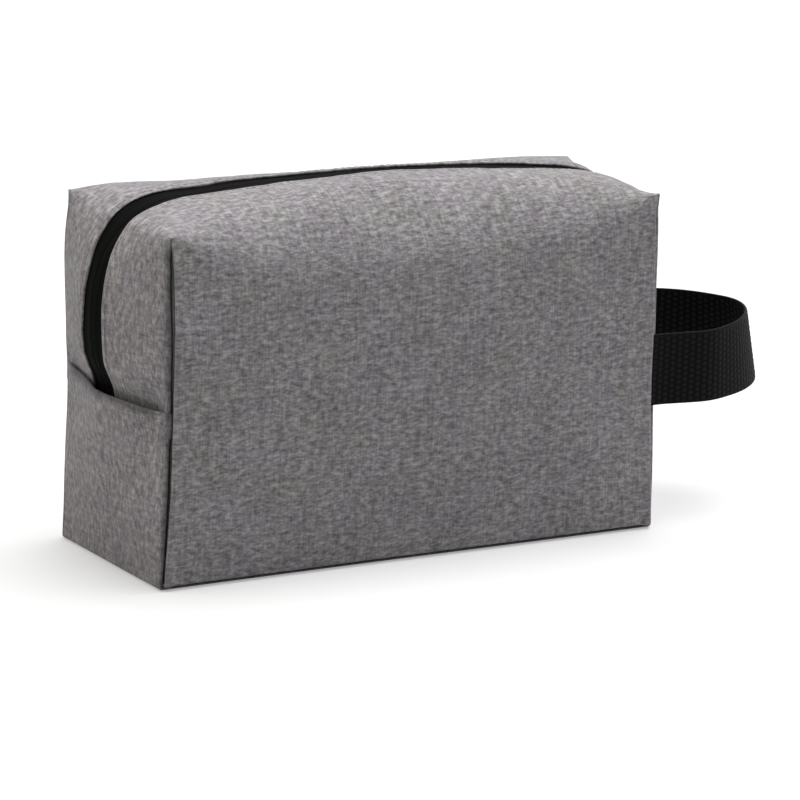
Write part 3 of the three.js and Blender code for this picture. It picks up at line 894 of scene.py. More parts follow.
def base_strip():
    """The base and both lower ends, one strip of cloth with a folded hem at each end."""
    across = mirrored(places_from(LIP_PLACES, HALF_DEPTH), BAG_DEPTH)
    distance = np.minimum(across, BAG_DEPTH - across)
    place, turned_in = lip(distance, LIP_RADIUS)
    y = np.where(across < HALF_DEPTH, FRONT, BACK) * (HALF_DEPTH - place)
    sewn = smooth((distance - HEM_START) / HEM_FADE)
    # The route of one end, from the hem's return to the fold at the base: heights, and how far inwards
    turn = np.linspace(math.pi, 0, FOLD_STEPS + 1)
    hem = [(SEAM_HEIGHT - drop, 2) for drop in np.linspace(HEM_RETURN, 0, HEM_RETURN_STEPS + 1)[:-1]]
    hem += [(SEAM_HEIGHT + HEM_RADIUS * math.sin(a), 1 - math.cos(a)) for a in turn]
    down = [(SEAM_HEIGHT - drop, 0) for drop in places_from(HEM_ROWS, SEAM_HEIGHT - BASE_FOLD_RADIUS)]
    height, inward = np.array(hem + down).T[:, :, None]
    near_top = smooth((height - SEAM_HEIGHT + HEM_RISE) / HEM_RISE)
    radius = HEM_RADIUS * (HEM_LEAST_RADIUS + (1 - HEM_LEAST_RADIUS) * sewn)
    corner = np.linspace(0, math.pi / 2, BASE_FOLD_STEPS + 1)[1:, None]
    ends = []
    for end in (LEFT, RIGHT):
        swell = end_swell(y, height, end) + HEM_PROUD * near_top * sewn - inward * radius
        lift = np.interp(y, *np.array(HEM_LIFT).T) * near_top if end == LEFT else 0
        upright = stacked(end * (HALF_LENGTH + swell - turned_in), y, height + lift)
        x = end * (HALF_LENGTH - BASE_FOLD_RADIUS * (1 - np.cos(corner)) - turned_in)
        fold = stacked(x, y, BASE_FOLD_RADIUS * (1 - np.sin(corner)) + turned_in)
        ends.append(np.vstack([upright, fold]))
    left, right = ends
    flat_x = spaced(BAG_LENGTH - 2 * BASE_FOLD_RADIUS, BASE_STEP)[1:-1] - HALF_LENGTH + BASE_FOLD_RADIUS
    flat = stacked(flat_x[:, None], y, turned_in)
    points = np.vstack([left, flat, right[::-1]])
    # Where the strip is turned in at its seams and hems, it is darker: painted shade
    hem_painted_shade = np.zeros(len(left))
    hem_painted_shade[: len(hem)] = np.maximum(smooth(inward[: len(hem), 0]), HEM_EDGE_SHADE)
    below = SEAM_HEIGHT - height[len(hem) :, 0]
    hem_painted_shade[len(hem) : len(height)] = HEM_EDGE_SHADE * (1 - smooth(below / HEM_EDGE_FADE))
    hem_painted_shade = np.concatenate([hem_painted_shade, np.zeros(len(flat)), hem_painted_shade[::-1]])
    side_painted_shade = np.maximum(lip_painted_shade(distance, LIP_RADIUS), seam_shade(distance))
    by_row = np.ones(len(points))
    by_row[-len(right) :] = PAINTED_SHADE_RIGHT
    painted_shade = np.maximum(hem_painted_shade[:, None] * sewn, side_painted_shade * by_row[:, None]).ravel()
    uvs = stacked(along_line(points[:, len(y) // 2])[:, None], across).reshape(-1, 2)
    outer = points.reshape(-1, 3)
    faces = facing_out(outer, grid_faces(grid_index(points)))
    height = ripple(*uvs.T, BASE_SEED, BASE_WAVES) * (
        smooth(outer[:, 2] / BASE_FLOOR_FADE) * smooth((HALF_DEPTH - np.abs(outer[:, 1])) / BASE_SIDE_FADE)
    )
    outer = settled(outer + point_normals(outer, faces) * height[:, None])
    return finished_mesh("base_and_ends_sheet", outer, faces, CLOTH_THICKNESS, uvs, painted_shade)


def clear_of_seams(points):
    """Pulls a layer's corners and lower edge back from the slits between the seams' lips."""
    x, y, z = np.moveaxis(points, -1, 0)
    from_end = HALF_LENGTH - np.abs(x)
    from_face = HALF_DEPTH - np.abs(y)
    near_corner = 1 - smooth((np.hypot(from_end, from_face) - SLIT_START) / SLIT_CLEAR_REACH)
    points[..., 0] -= np.sign(x) * SLIT_CLEAR * near_corner
    points[..., 1] -= np.sign(y) * SLIT_CLEAR * near_corner
    near_base = 1 - smooth(z / SLIT_CLEAR_REACH)
    points[..., 1] -= np.sign(y) * SLIT_CLEAR * near_base * (1 - near_corner)
    points[..., 2] += SLIT_CLEAR * near_base
    return points


def simple_layer(name, inset, mouth_reach, side, thickness):
    """A foam or lining sheet behind one half of the cloth."""
    ends = np.array(LAYER_PLACES)
    middle = spaced(BAG_LENGTH - 2 * ends[-1], LAYER_STEP) + ends[-1]
    places = np.concatenate([ends[:-1], middle, BAG_LENGTH - ends[-2::-1]]) - HALF_LENGTH
    rows_z = inset + spaced(CORNER_HEIGHT - inset, LAYER_STEP)
    stations = Stations(rows_z[rows_z > SEAM_HEIGHT - EAR_TUCK], places)
    span = spans(stations, inset, side)
    shares = np.linspace(0, 1, LAYER_ROWS)[:, None]
    distances = mouth_reach + (span - mouth_reach) * shares
    points = shaped_top(stations, distances, np.full(LAYER_ROWS, float(inset)), side, span)
    z = rows_z[::-1][1:]
    z_in = z - inset * (z - inset) / (CORNER_HEIGHT - inset)
    face = face_points(places, z_in[:, None], inset, side)
    outer, faces, uvs = joined(stations, points, face, span, distances, places, z)
    outer = settled(clear_of_seams(outer))
    return finished_mesh(name, outer, facing_out(outer, faces), thickness, uvs)


def simple_base(name, inset, thickness):
    """A foam or lining strip over the base and up both ends."""
    edge = HALF_DEPTH - inset - thickness - LAYER_SIDE_GAP
    y = np.linspace(-edge, edge, LAYER_COLUMNS)
    z = inset + spaced(SEAM_HEIGHT - HEM_RETURN - inset, LAYER_STEP)[:, None]
    x = spaced(BAG_LENGTH - 2 * inset, LAYER_STEP) - HALF_LENGTH + inset
    left, right = [
        stacked(end * (HALF_LENGTH - inset + end_swell(y, z, end)), y, z) for end in (LEFT, RIGHT)
    ]
    flat = stacked(x[1:-1, None], y, float(inset))
    points = np.vstack([left[::-1], flat, right])
    return grid_sheet(name, points, thickness, stacked(along_line(points[:, len(y) // 2])[:, None], y))


def strip_beside_zip(name, rows, insets, thickness, side, step, relief):
    """A strip along the zip: rows at distances from its middle, each at its own inset."""
    heights = np.linspace(SEAM_HEIGHT - ZIP_TUCK, CORNER_HEIGHT, round(ZIP_ROWS_RISE / step) + 1)
    stations = Stations(heights, spaced(BAG_LENGTH, step) - HALF_LENGTH)
    rows, edge = np.broadcast_arrays(np.array(rows, float)[:, None], stations.edge)
    points = shaped_top(stations, rows, np.array(insets, float), side, spans(stations, 0, side))
    stations.push_out(points, relief(rows, edge))
    return grid_sheet(name, points, thickness, stacked(edge, rows * side))


def facing_out(points, faces):
    """The faces of a sheet, turned over if they look towards the bag's middle."""
    normals = point_normals(points, faces)
    middle = np.array([0, 0, SEAM_HEIGHT])
    if (normals * (points - middle)).sum() > 0:
        return faces
    return [face[::-1] for face in faces]


def band(rows, edges):
    """One between two places, and nought outside them."""
    start, rise, stop, fall = edges
    return smooth((rows - start) / rise) * smooth((stop - rows) / fall)


def tape_relief(rows, along):
    """The coil pressed through the tape: soft ridges beside the middle, with fine ribs across."""
    ribs = 0.5 + 0.5 * np.sin(along * 2 * math.pi / COIL_PITCH)
    return TAPE_RIDGE * band(rows, RIDGE_EDGES) + TAPE_RIBS * ribs * band(rows, RIB_EDGES)


def coil_relief(_, along):
    """A rib for each turn of the coil."""
    return -COIL_RIBS * (0.5 + 0.5 * np.cos(along * 2 * math.pi / COIL_PITCH))


def zip_tape(name, side):
    insets = [TAPE_INSET] * len(TAPE_ROWS)
    return strip_beside_zip(name, TAPE_ROWS, insets, TAPE_THICKNESS, side, TAPE_STEP, tape_relief)


def zip_coil(name, side):
    """One row of the coil, under its tape."""
    step = COIL_PITCH / 4
    return strip_beside_zip(name, COIL_ROWS, COIL_INSETS, COIL_THICKNESS, side, step, coil_relief)


def stitch_run(name, points, normals):
    """A row of stitches: short rounded threads that dip into the cloth at both ends."""
    path = Path(points)
    steps = np.linspace(0, 1, STITCH_STEPS + 1)
    pitch = STITCH_LENGTH + STITCH_GAP
    arch = np.sin(np.pi * steps) ** 0.5
    height = (arch * STITCH_ARCH - STITCH_SINK) * STITCH_RADIUS
    thick = STITCH_RADIUS * (STITCH_END_SHARE + (1 - STITCH_END_SHARE) * arch)
    turn = np.arange(STITCH_RING) * 2 * math.pi / STITCH_RING
    sideways = np.cos(turn)[:, None]
    upwards = STITCH_FLATNESS * np.sin(turn)[:, None]
    verts = []
    faces = []
    for i in range(int(path.length // pitch)):
        start = (i * pitch + STITCH_GAP) / path.length
        share = start + steps * STITCH_LENGTH / path.length
        up = path.read(normals, share)
        up /= np.linalg.norm(up, axis=1, keepdims=True)
        across = np.cross(path.tangent(share, STITCH_WINDOW), up)
        middle = path.at(share) + up * height[:, None]
        rings = sideways * across[:, None] + upwards * up[:, None]
        rings = middle[:, None] + thick[:, None, None] * rings
        faces += tube_faces(i * thick.size * STITCH_RING + grid_index(rings), turned=True)
        verts.append(rings.reshape(-1, 3))
    return new_piece(name, np.vstack(verts), faces)


def mouth_stitches(name, side):
    """The topstitch beside the zip, through the folded edge of the cloth."""
    heights = np.linspace(SEAM_HEIGHT - STITCH_DROP, CORNER_HEIGHT, STITCH_LINE_ROWS)
    stations = Stations(heights, spaced(BAG_LENGTH, STITCH_LINE_STEP) - HALF_LENGTH)
    distance = MOUTH_WIDTH / 2 + STITCH_SET_BACK
    rows = distance + np.array([[-STITCH_SIDE], [0], [STITCH_SIDE]]) + edge_wander(stations, side)
    span = spans(stations, 0, side)
    before, line, after = shaped_top(stations, rows, np.zeros(3), side, span)
    normals = np.cross(np.gradient(line, axis=0), after - before) * -side
    normals /= np.linalg.norm(normals, axis=1, keepdims=True)
    normals *= np.sign((normals * (line - [0, 0, SEAM_HEIGHT])).sum())
    height = uneven(stations.edge - EDGE_LENGTH / 2, CORNER_HEIGHT + span - distance, side)
    return stitch_run(name, settled(line + normals * height[:, None]), normals)


def loop_line():
    """The middle line of the webbing seen from above, with the places of its hinges along it."""
    tail_x = [HALF_LENGTH - TAIL_INSIDE, HALF_LENGTH - TAIL_STRAIGHT, LOOP_HINGE_X]
    front = [(x, -TAIL_LINE) for x in tail_x]
    behind = [(x, TAIL_LINE) for x in reversed(tail_x)]
    knee, back_knee = [(LOOP_HINGE_X + LEG_REACH, y - LEG_DRIFT) for y in (-TAIL_LINE, TAIL_LINE)]
    bend = [(HALF_LENGTH + x * LOOP_REACH, y * HALF_DEPTH) for x, y in LOOP_SHARES]
    path = Path(centripetal_curve([*front, knee, *bend, back_knee, *behind], LOOP_CURVE_STEPS))
    places = []
    for target in (front[-1], knee, back_knee, behind[0]):
        distance = np.linalg.norm(path.points - target, axis=1)
        places.append(path.along[distance.argmin()])
    return path, places


def webbing_relief(u, v):
    """Upright rows of small pads, each row half a pad on from its neighbour, and a plain edge."""
    column = np.round(u / WEAVE_ALONG)
    cell_u = u / WEAVE_ALONG - column
    shifted = v / WEAVE_ACROSS + 0.5 * (column % 2)
    cell_v = shifted - np.round(shifted)
    along, across = PAD_ROUNDING
    pad = np.cos(np.pi * cell_u) ** along * np.cos(np.pi * cell_v) ** across
    inside = smooth((WEBBING_WIDTH / 2 - PLAIN_EDGE - np.abs(v)) / PLAIN_EDGE_FADE)
    ribs = 0.5 + 0.5 * np.cos(u * 2 * math.pi / WEAVE_ALONG)
    return WEAVE_HEIGHT * (pad - PAD_MIDDLE) * inside + PLAIN_RIBS * (ribs - 0.5) * (1 - inside)


def webbing_piece(name, path, places, low, high):
    """A length of webbing from one place along its line to another."""
    u = np.linspace(low, high, max(2, round((high - low) / WEAVE_STEP)) + 1)
    middle = path.at(u / path.length)
    way = path.tangent(u / path.length, WEBBING_WINDOW)
    outward = np.stack([way[:, 1], -way[:, 0]], axis=-1)
    half = WEBBING_WIDTH / 2
    edge = half - np.array(WEBBING_EDGE)
    inner = np.linspace(-edge[-1], edge[-1], round(2 * edge[-1] / WEAVE_STEP) + 1)[1:-1]
    v = np.concatenate([-edge, inner, edge[::-1]])
    closing = np.clip((np.abs(v) - (half - WEBBING_EDGE[-1])) / WEBBING_EDGE[-1], 0, 1)
    thick = WEBBING_THICKNESS / 2 * np.sqrt(np.maximum(1 - closing**2, 0))
    front_root, _, _, back_root = places
    lean = np.sin(np.pi * np.clip((u - front_root) / (back_root - front_root), 0, 1)) ** 2
    relief = webbing_relief(u[:, None], v)
    sheets = []
    for sign in (1, -1):
        height = sign * (thick + relief * (closing < 1))
        across = height - LOOP_LEAN * lean[:, None] * v / half
        x = middle[:, None, 0] + outward[:, None, 0] * across
        y = middle[:, None, 1] + outward[:, None, 1] * across
        sheets.append(stacked(x, y, WEBBING_MIDDLE + v + LOOP_RISE * lean[:, None]))
    rings = np.concatenate([sheets[0], sheets[1][:, -2:0:-1]], axis=1)
    uvs = stacked(u[:, None], np.concatenate([v, v[-2:0:-1]])).reshape(-1, 2)
    # How high each point stands in the relief, which darkens the hollows between the pads: painted shade
    pad = np.concatenate([relief, relief[:, -2:0:-1]], axis=1).ravel() / WEAVE_HEIGHT + PAD_MIDDLE
    faces = tube_faces(grid_index(rings))
    return new_piece(name, rings.reshape(-1, 3), faces, uvs, WEBBING_SHARP, pad=np.clip(pad, 0, 1))


def bevelled(node, name, width):
    """A metal piece of the frame with its edges rounded."""
    made = in_scene(name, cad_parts[node].data.copy())
    work = bmesh.new()
    work.from_mesh(made.data)
    bmesh.ops.remove_doubles(work, verts=work.verts, dist=1e-6)
    flat = math.radians(METAL_FLAT)
    bmesh.ops.dissolve_limit(work, angle_limit=flat, verts=work.verts, edges=work.edges)
    edges = folded_edges(work, METAL_BEVEL_FROM)
    looks = {"segments": BEVEL_SEGMENTS, "profile": BEVEL_PROFILE, "affect": "EDGES"}
    bmesh.ops.bevel(work, geom=edges, offset=width * MM, clamp_overlap=True, **looks)
    work.to_mesh(made.data)
    work.free()
    shaded_smooth(made.data)
    sharpen(made, METAL_SHARP)
    return made


# Materials: woven patterns lie on the cloth's own UVs, in metres
# The colour towards which painted shade darkens the cloth
PAINTED_SHADE_COLOUR = (0.055, 0.052, 0.052)
HEATHER_DARK = (0.132, 0.124, 0.128)
HEATHER_MIDDLE = (0.275, 0.264, 0.272)
HEATHER_PALE = (0.478, 0.468, 0.474)
COOL_TINT = (0.99, 0.97, 1.012)
WARM_TINT = (1, 0.99, 0.965)
FOAM_COLOURS = (0.55, 0.54, 0.5), (0.76, 0.75, 0.71)
WEBBING_COLOURS = (0.0008, 0.0008, 0.0009), (0.014, 0.014, 0.0135)
LINING_COLOUR = (0.03, 0.03, 0.033)
TAPE_COLOUR = (0.004, 0.004, 0.0038)
COIL_COLOUR = (0.015, 0.015, 0.016)
METAL_COLOUR = (0.018, 0.018, 0.019)
THREAD_COLOUR = (0.15, 0.146, 0.15)
# How fine each pattern is, how far it is drawn out along each thread, its detail and its own place
WEFT = (500, (0.48, 1), 2, 3.1)
FINE_WEFT = (1000, (0.5, 1), 1, 17)
WARP = (1500, (1, 0.07), 1, 8.7)
CLOUD = (55, (1, 1), 3, 5)
TINT = (75, (1, 1), 2, 11)
MOTTLE = (900, (1, 0.2), 2, 2)
YARN = (3000, (0.25, 1), 2, 6)
# How much of each is added to the weft
FINE_WEFT_SHARE = 0.7
WARP_SHARE = 0.4
CLOUD_SHARE = 0.25
HEATHER_RANGE = (0.85, 1.5)
TINT_RANGE = (0.4, 0.6)
NOISE_ROUGHNESS = 0.55
FOAM_PORES = 1600
CLOTH_PITCH = 0.42
LINING_PITCH = 0.3
TAPE_PITCH = 0.5


class Graph:
    """The nodes of a material or world, with short ways to add and join them."""

    def __init__(self, owner):
        owner.use_nodes = True
        self.nodes = owner.node_tree.nodes
        self.links = owner.node_tree.links

    def feed(self, node, inputs):
        """Joins each named input of a node to another node's output, or sets its value."""
        for name, value in inputs.items():
            if isinstance(value, bpy.types.NodeSocket):
                self.links.new(value, node.inputs[name])
            elif value is not None:
                node.inputs[name].default_value = value

    def add(self, kind, inputs, output=0, **settings):
        """A new node with its settings and inputs; gives back one of its outputs."""
        node = self.nodes.new(kind)
        for name, value in settings.items():
            setattr(node, name, value)
        self.feed(node, inputs)
        return node.outputs[output]

    def maths(self, operation, a, b=None):
        return self.add("ShaderNodeMath", {0: a, 1: b}, operation=operation)

    def mapped(self, value, low, high, to_low, to_high):
        ends = {"From Min": low, "From Max": high, "To Min": to_low, "To Max": to_high}
        return self.add("ShaderNodeMapRange", {"Value": value, **ends}, "Result")

    def cloth_place(self):
        return self.add("ShaderNodeUVMap", {}, "UV", uv_map="weave")

    def point_value(self, name):
        return self.add("ShaderNodeAttribute", {}, "Fac", attribute_name=name)

    def noise(self, place, scale, stretch, detail, seed):
        """Noise over the cloth's own coordinates, drawn out along one thread direction."""
        moved = {
            "Scale": (scale * stretch[0], scale * stretch[1], 1),
            "Location": (seed, seed * 0.7, seed * 1.3),
            "Vector": place,
        }
        vector = self.add("ShaderNodeMapping", moved, "Vector")
        looks = {"Scale": 1, "Detail": detail, "Roughness": NOISE_ROUGHNESS, "Vector": vector}
        return self.add("ShaderNodeTexNoise", looks, "Fac")

    def threads(self, place, pitch):
        """The height of a plain weave: warp and weft threads that pass over each other in turn."""
        split = self.nodes.new("ShaderNodeSeparateXYZ")
        self.links.new(place, split.inputs[0])
        waves = []
        for axis in ("X", "Y"):
            turned = self.maths("MULTIPLY", split.outputs[axis], math.pi / (pitch * MM))
            waves.append(self.maths("SINE", turned))
        return self.maths("ABSOLUTE", self.maths("MULTIPLY", *waves))

    def plus(self, total, value, share):
        """A total with a share of another value added."""
        return self.maths("ADD", total, self.maths("MULTIPLY", value, share))

    def ramp(self, share, first, *others):
        """A colour for each share, from stops that are a place and a colour each."""
        node = self.nodes.new("ShaderNodeValToRGB")
        self.links.new(share, node.inputs["Fac"])
        elements = node.color_ramp.elements
        for element, (place, colour) in zip((elements[0], elements[1]), (first, others[-1])):
            element.position = place
            element.color = (*colour, 1)
        for place, colour in others[:-1]:
            elements.new(place).color = (*colour, 1)
        return node.outputs["Color"]

    def multiplied(self, factor, a, b):
        colours = {"Factor": factor, "A": a, "B": b}
        return self.add("ShaderNodeMix", colours, "Result", data_type="RGBA", blend_type="MULTIPLY")

    def bump(self, height, strength, distance):
        inputs = {"Strength": strength, "Distance": distance, "Height": height}
        return self.add("ShaderNodeBump", inputs, "Normal")


def new_material(name):
    """A material, its nodes and its shader."""
    made = bpy.data.materials.new(name)
    graph = Graph(made)
    return made, graph, graph.nodes["Principled BSDF"]


def heather_cloth():
    """Grey heather: plain-woven threads, each of a slightly different grey along its length."""
    made, graph, shader = new_material("heather_cloth")
    place = graph.cloth_place()
    height = graph.threads(place, CLOTH_PITCH)
    total = graph.plus(graph.noise(place, *WEFT), graph.noise(place, *FINE_WEFT), FINE_WEFT_SHARE)
    total = graph.plus(total, graph.noise(place, *WARP), WARP_SHARE)
    total = graph.plus(total, graph.noise(place, *CLOUD), CLOUD_SHARE)
    share = graph.mapped(total, *HEATHER_RANGE, 0, 1)
    grey = graph.ramp(share, (0, HEATHER_DARK), (0.5, HEATHER_MIDDLE), (1, HEATHER_PALE))
    cool, warm = TINT_RANGE
    tint = graph.ramp(graph.noise(place, *TINT), (cool, COOL_TINT), (warm, WARM_TINT))
    colour = graph.multiplied(1, grey, tint)
    looks = {
        # Painted shade in the seams' lips and behind the hems darkens the cloth's colour
        "Base Color": graph.multiplied(graph.point_value("painted_shade"), colour, (*PAINTED_SHADE_COLOUR, 1)),
        "Roughness": graph.mapped(height, 0, 1, 0.98, 0.86),
        "Specular IOR Level": 0.25,
        "Sheen Weight": 0.3,
        "Sheen Roughness": 0.4,
        "Normal": graph.bump(graph.plus(height, total, 0.5), 0.8, 0.00015),
    }
    graph.feed(shader, looks)
    return made


def plain_fabric(name, colour, pitch, roughness, contrast=0.35, shine=0.3):
    """A plain-woven cloth of one colour, such as lining or zip tape."""
    made, graph, shader = new_material(name)
    place = graph.cloth_place()
    height = graph.threads(place, pitch)
    share = graph.mapped(graph.maths("MULTIPLY", height, graph.noise(place, *MOTTLE)), 0, 0.6, 0, 1)
    dark, pale = [[c * (1 + change) for c in colour] for change in (-contrast, contrast)]
    looks = {
        "Base Color": graph.ramp(share, (0, dark), (1, pale)),
        "Roughness": graph.mapped(height, 0, 1, 1, roughness),
        "Specular IOR Level": shine,
        "Normal": graph.bump(height, 0.6, 0.0001),
    }
    graph.feed(shader, looks)
    return made


def foam_material():
    """Closed-cell foam: pale, with fine pores."""
    made, graph, shader = new_material("foam")
    place = graph.add("ShaderNodeTexCoord", {}, "Object")
    pores = graph.add("ShaderNodeTexVoronoi", {"Scale": FOAM_PORES, "Vector": place}, "Distance")
    dark, pale = FOAM_COLOURS
    graph.feed(shader, {"Base Color": graph.ramp(pores, (0, dark), (1, pale)), "Roughness": 0.9})
    return made


def simple_material(name, colour, roughness):
    made, graph, shader = new_material(name)
    graph.feed(shader, {"Base Color": (*colour, 1), "Roughness": roughness})
    return made


def webbing_material():
    """Black webbing: its pads are in the mesh, and fine yarns run along each pad."""
    made, graph, shader = new_material("webbing")
    yarn = graph.noise(graph.cloth_place(), *YARN)
    # The colour is paler on the pads and darker in the hollows between them, painted shade, with the yarns'
    # own streaks on it
    share = graph.mapped(graph.plus(graph.point_value("pad"), yarn, 0.5), 0.5, 1.35, 0, 1)
    dark, pale = WEBBING_COLOURS
    looks = {
        "Base Color": graph.ramp(share, (0, dark), (1, pale)),
        "Roughness": 0.62,
        "Specular IOR Level": 0.06,
        "Normal": graph.bump(yarn, 0.6, 0.0001),
    }
    graph.feed(shader, looks)
    return made


# The stage: floor, lights and the photograph's viewpoint

CAMERA_AZIMUTH = -31.1
CAMERA_ELEVATION = 14.48
CAMERA_ROLL = 2.29
CAMERA_DISTANCE = 2020
CAMERA_CLIP = (0.05, 50)
CAMERA_RIGHT = 14.17
CAMERA_UP = -13.38
CAMERA_FOCAL_PIXELS = 5000
IMAGE_PIXELS = 800
SENSOR_WIDTH = 36

# Each lamp's place, size, power and colour; all of them look at the bag's middle
LAMPS = {
    "top_softbox": ((0.35, 0.1, 1.8), 2.0, 56, (1, 1, 1)),
    "left_fill": ((-1.4, 0.5, 0.8), 1.2, 6.5, (1.06, 1, 0.9)),
    "front_fill": ((0.9, -1.7, 0.6), 1.2, 1.2, (1, 1, 1)),
}
LAMP_TARGET = (0, 0, 0.07)
WORLD_LEVEL = 0.15
FLOOR_GLOW = 0.36
FLOOR_GLOW_FAR = 1
FLOOR_GLOW_RISE = (0.6, 2.4)
FLOOR_COLOUR = 0.55
FLOOR_HALF = 6
FLOOR_GAP = 0.0003


def make_camera():
    azimuth = math.radians(CAMERA_AZIMUTH)
    elevation = math.radians(CAMERA_ELEVATION)
    level = math.cos(elevation)
    back = Vector((math.sin(azimuth) * level, -math.cos(azimuth) * level, math.sin(elevation)))
    right = Vector((0, 0, 1)).cross(back).normalized()
    up = back.cross(right)
    centre = Vector((0, 0, CORNER_HEIGHT / 2)) + right * CAMERA_RIGHT + up * CAMERA_UP
    roll = math.radians(CAMERA_ROLL)
    across = right * math.cos(roll) + up * math.sin(roll)
    upward = up * math.cos(roll) - right * math.sin(roll)
    data = bpy.data.cameras.new("camera")
    data.sensor_width = SENSOR_WIDTH
    data.lens = CAMERA_FOCAL_PIXELS / IMAGE_PIXELS * SENSOR_WIDTH
    data.clip_start, data.clip_end = CAMERA_CLIP
    camera = in_scene("camera", data)
    turned = Matrix((across, upward, back)).transposed().to_4x4()
    turned.translation = (centre + back * CAMERA_DISTANCE) * MM
    camera.matrix_world = turned
    bpy.context.scene.camera = camera


def area_light(name, place, size, power, colour):
    data = bpy.data.lights.new(name, "AREA")
    data.shape = "DISK"
    data.size = size
    data.energy = power
    data.color = colour
    light = in_scene(name, data)
    light.location = place
    way = Vector(LAMP_TARGET) - Vector(place)
    light.rotation_mode = "QUATERNION"
    light.rotation_quaternion = way.to_track_quat("-Z", "Y")


def seen_path(graph):
    """One where a camera, mirror or glass ray looks."""
    rays = graph.nodes.new("ShaderNodeLightPath").outputs
    seen = graph.maths("MAXIMUM", rays["Is Camera Ray"], rays["Is Glossy Ray"])
    return graph.maths("MAXIMUM", seen, rays["Is Transmission Ray"])


def make_world():
    world = bpy.data.worlds.new("studio")
    bpy.context.scene.world = world
    graph = Graph(world)
    strength = graph.mapped(seen_path(graph), 0, 1, WORLD_LEVEL, 1)
    graph.feed(graph.nodes["Background"], {"Color": (1, 1, 1, 1), "Strength": strength})


def make_floor():
    """A pale floor that keeps the shadow; to the camera it also glows a little, so that it is white."""
    mesh = bpy.data.meshes.new("floor")
    corners = [(x * FLOOR_HALF, y * FLOOR_HALF, 0) for x, y in ((-1, -1), (1, -1), (1, 1), (-1, 1))]
    mesh.from_pydata(corners, [], [(0, 1, 2, 3)])
    floor = in_scene("floor", mesh)
    floor.location.z = -FLOOR_GAP
    made, graph, shader = new_material("floor")
    place = graph.add("ShaderNodeTexCoord", {}, "Object")
    reach = graph.add("ShaderNodeVectorMath", {0: place}, "Value", operation="LENGTH")
    glow = graph.mapped(reach, *FLOOR_GLOW_RISE, FLOOR_GLOW, FLOOR_GLOW_FAR)
    looks = {
        "Base Color": (FLOOR_COLOUR, FLOOR_COLOUR, FLOOR_COLOUR, 1),
        "Roughness": 1,
        "Specular IOR Level": 0,
        "Emission Color": (1, 1, 1, 1),
        "Emission Strength": graph.maths("MULTIPLY", seen_path(graph), glow),
    }
    graph.feed(shader, looks)
    mesh.materials.append(made)


def give(piece, material):
    piece.data.materials.clear()
    piece.data.materials.append(material)


cloth = heather_cloth()
lining = plain_fabric("lining", LINING_COLOUR, LINING_PITCH, 0.7)
tape = plain_fabric("zip_tape", TAPE_COLOUR, TAPE_PITCH, 0.8, shine=0.04)
foam = foam_material()
coil = simple_material("zip_coil", COIL_COLOUR, 0.35)
metal = simple_material("slider_metal", METAL_COLOUR, 0.32)
thread = simple_material("thread", THREAD_COLOUR, 0.85)
webbing = webbing_material()

sides = {"front": FRONT, "back": BACK}


def upper_half(piece, material, nodes):
    """Gives a piece its material, hides the parts it stands for, and bakes its place into its mesh."""
    give(piece, material)
    if nodes:
        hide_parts(*nodes)
    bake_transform(piece)


for word, side in sides.items():
    sheet = f"{word}_sheet"
    behind = f"{word}_foam_sheet"
    piece = cloth_half(sheet, side)
    upper_half(piece, cloth, [f"{word}_cloth_lower", f"{word}_cloth_upper"])
    piece = simple_layer(behind, FOAM_INSET, FOAM_SET_BACK, side, FOAM_THICKNESS)
    upper_half(piece, foam, [f"{word}_foam_lower", f"{word}_foam_upper"])
    piece = simple_layer(f"{word}_lining_sheet", LINING_INSET, LINING_SET_BACK, side, LINING_THICKNESS)
    upper_half(piece, lining, [f"{word}_lining_lower", f"{word}_lining_upper"])
    piece = zip_tape(f"{word}_tape", side)
    upper_half(piece, tape, [f"zip_tape_{word}"])
    piece = zip_coil(f"{word}_coil", side)
    upper_half(piece, coil, [f"zip_coil_{word}"])
    piece = mouth_stitches(f"{word}_stitches", side)
    upper_half(piece, thread, [])

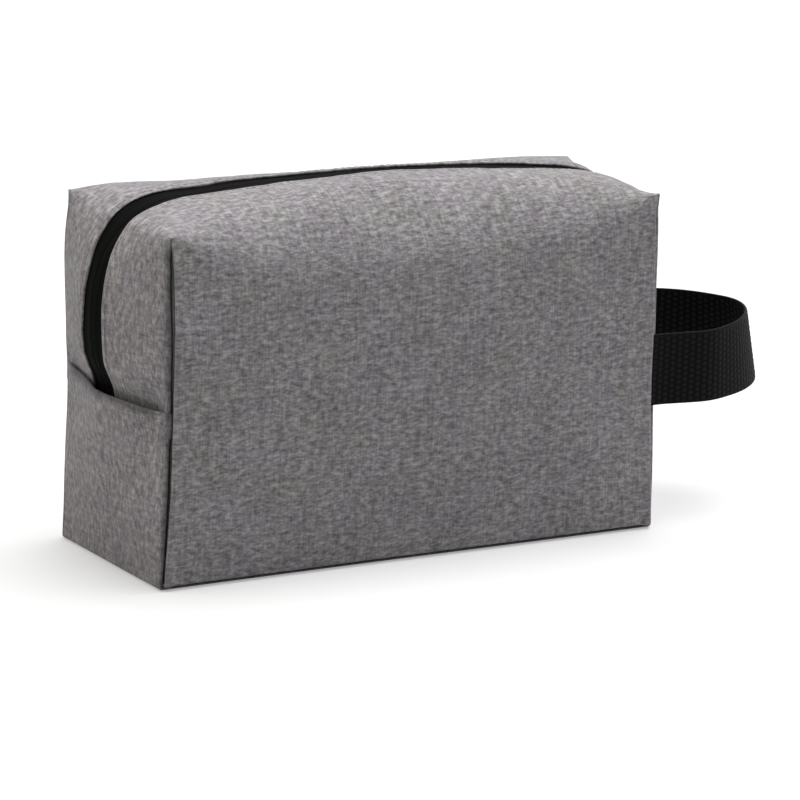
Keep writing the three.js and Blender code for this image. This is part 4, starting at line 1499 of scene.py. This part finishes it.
base_sheet = base_strip()
base_foam = simple_base("base_and_ends_foam_sheet", FOAM_INSET, FOAM_THICKNESS)
base_lining = simple_base("base_and_ends_lining_sheet", LINING_INSET, LINING_THICKNESS)
give(base_sheet, cloth)
give(base_foam, foam)
give(base_lining, lining)
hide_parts("base_and_ends_cloth")
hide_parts("base_and_ends_foam")
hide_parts("base_and_ends_lining")
for piece, lies_on in ((base_sheet, base_foam), (base_foam, base_sheet), (base_lining, base_foam)):
    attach(piece, "root")

slider = bevelled("zip_slider", "slider_body", SLIDER_BEVEL)
give(slider, metal)
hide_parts("zip_slider")
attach(slider, "slider")
pull = bevelled("zip_pull", "slider_pull", PULL_BEVEL)
give(pull, metal)
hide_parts("zip_pull")
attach(pull, "pull")

line, places = loop_line()
front_root, front_knee, back_knee, back_root = places
middle = (front_knee + back_knee) / 2
front_cut = front_knee - KNEE_REACH
back_cut = back_knee + KNEE_REACH


def line_point(place):
    x, y = line.at(place / line.length)
    return (x * MM, y * MM, WEBBING_MIDDLE * MM)


# Each part's ends along the line, the body before it, its hinge, and how far round it the webbing bends
lengths = {
    "front_leg": (0, front_cut, "root", front_root, ROOT_REACH),
    "front_bend": (front_cut, middle - JOIN_GAP / 2, "front_leg", front_knee, KNEE_REACH),
    "back_bend": (middle + JOIN_GAP / 2, back_cut, "back_leg", back_knee, -KNEE_REACH),
    "back_leg": (back_cut, line.length, "root", back_root, -ROOT_REACH),
}
stands_for = {
    "front_leg": ["loop_tail_front", "loop_leg_front"],
    "front_bend": ["loop_bend_front"],
    "back_bend": ["loop_bend_back"],
    "back_leg": ["loop_tail_back", "loop_leg_back"],
}
for part, (low, high, before, hinge, reach) in lengths.items():
    piece = webbing_piece(f"webbing_{part}", line, places, low, high)
    give(piece, webbing)
    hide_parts(*stands_for[part])
    line_point(hinge - reach)
    line_point(hinge + reach)
    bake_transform(piece)

bpy.context.scene.view_settings.view_transform = "Standard"
make_world()
make_floor()
for name, (place, size, power, colour) in LAMPS.items():
    area_light(name, place, size, power, colour)
make_camera()
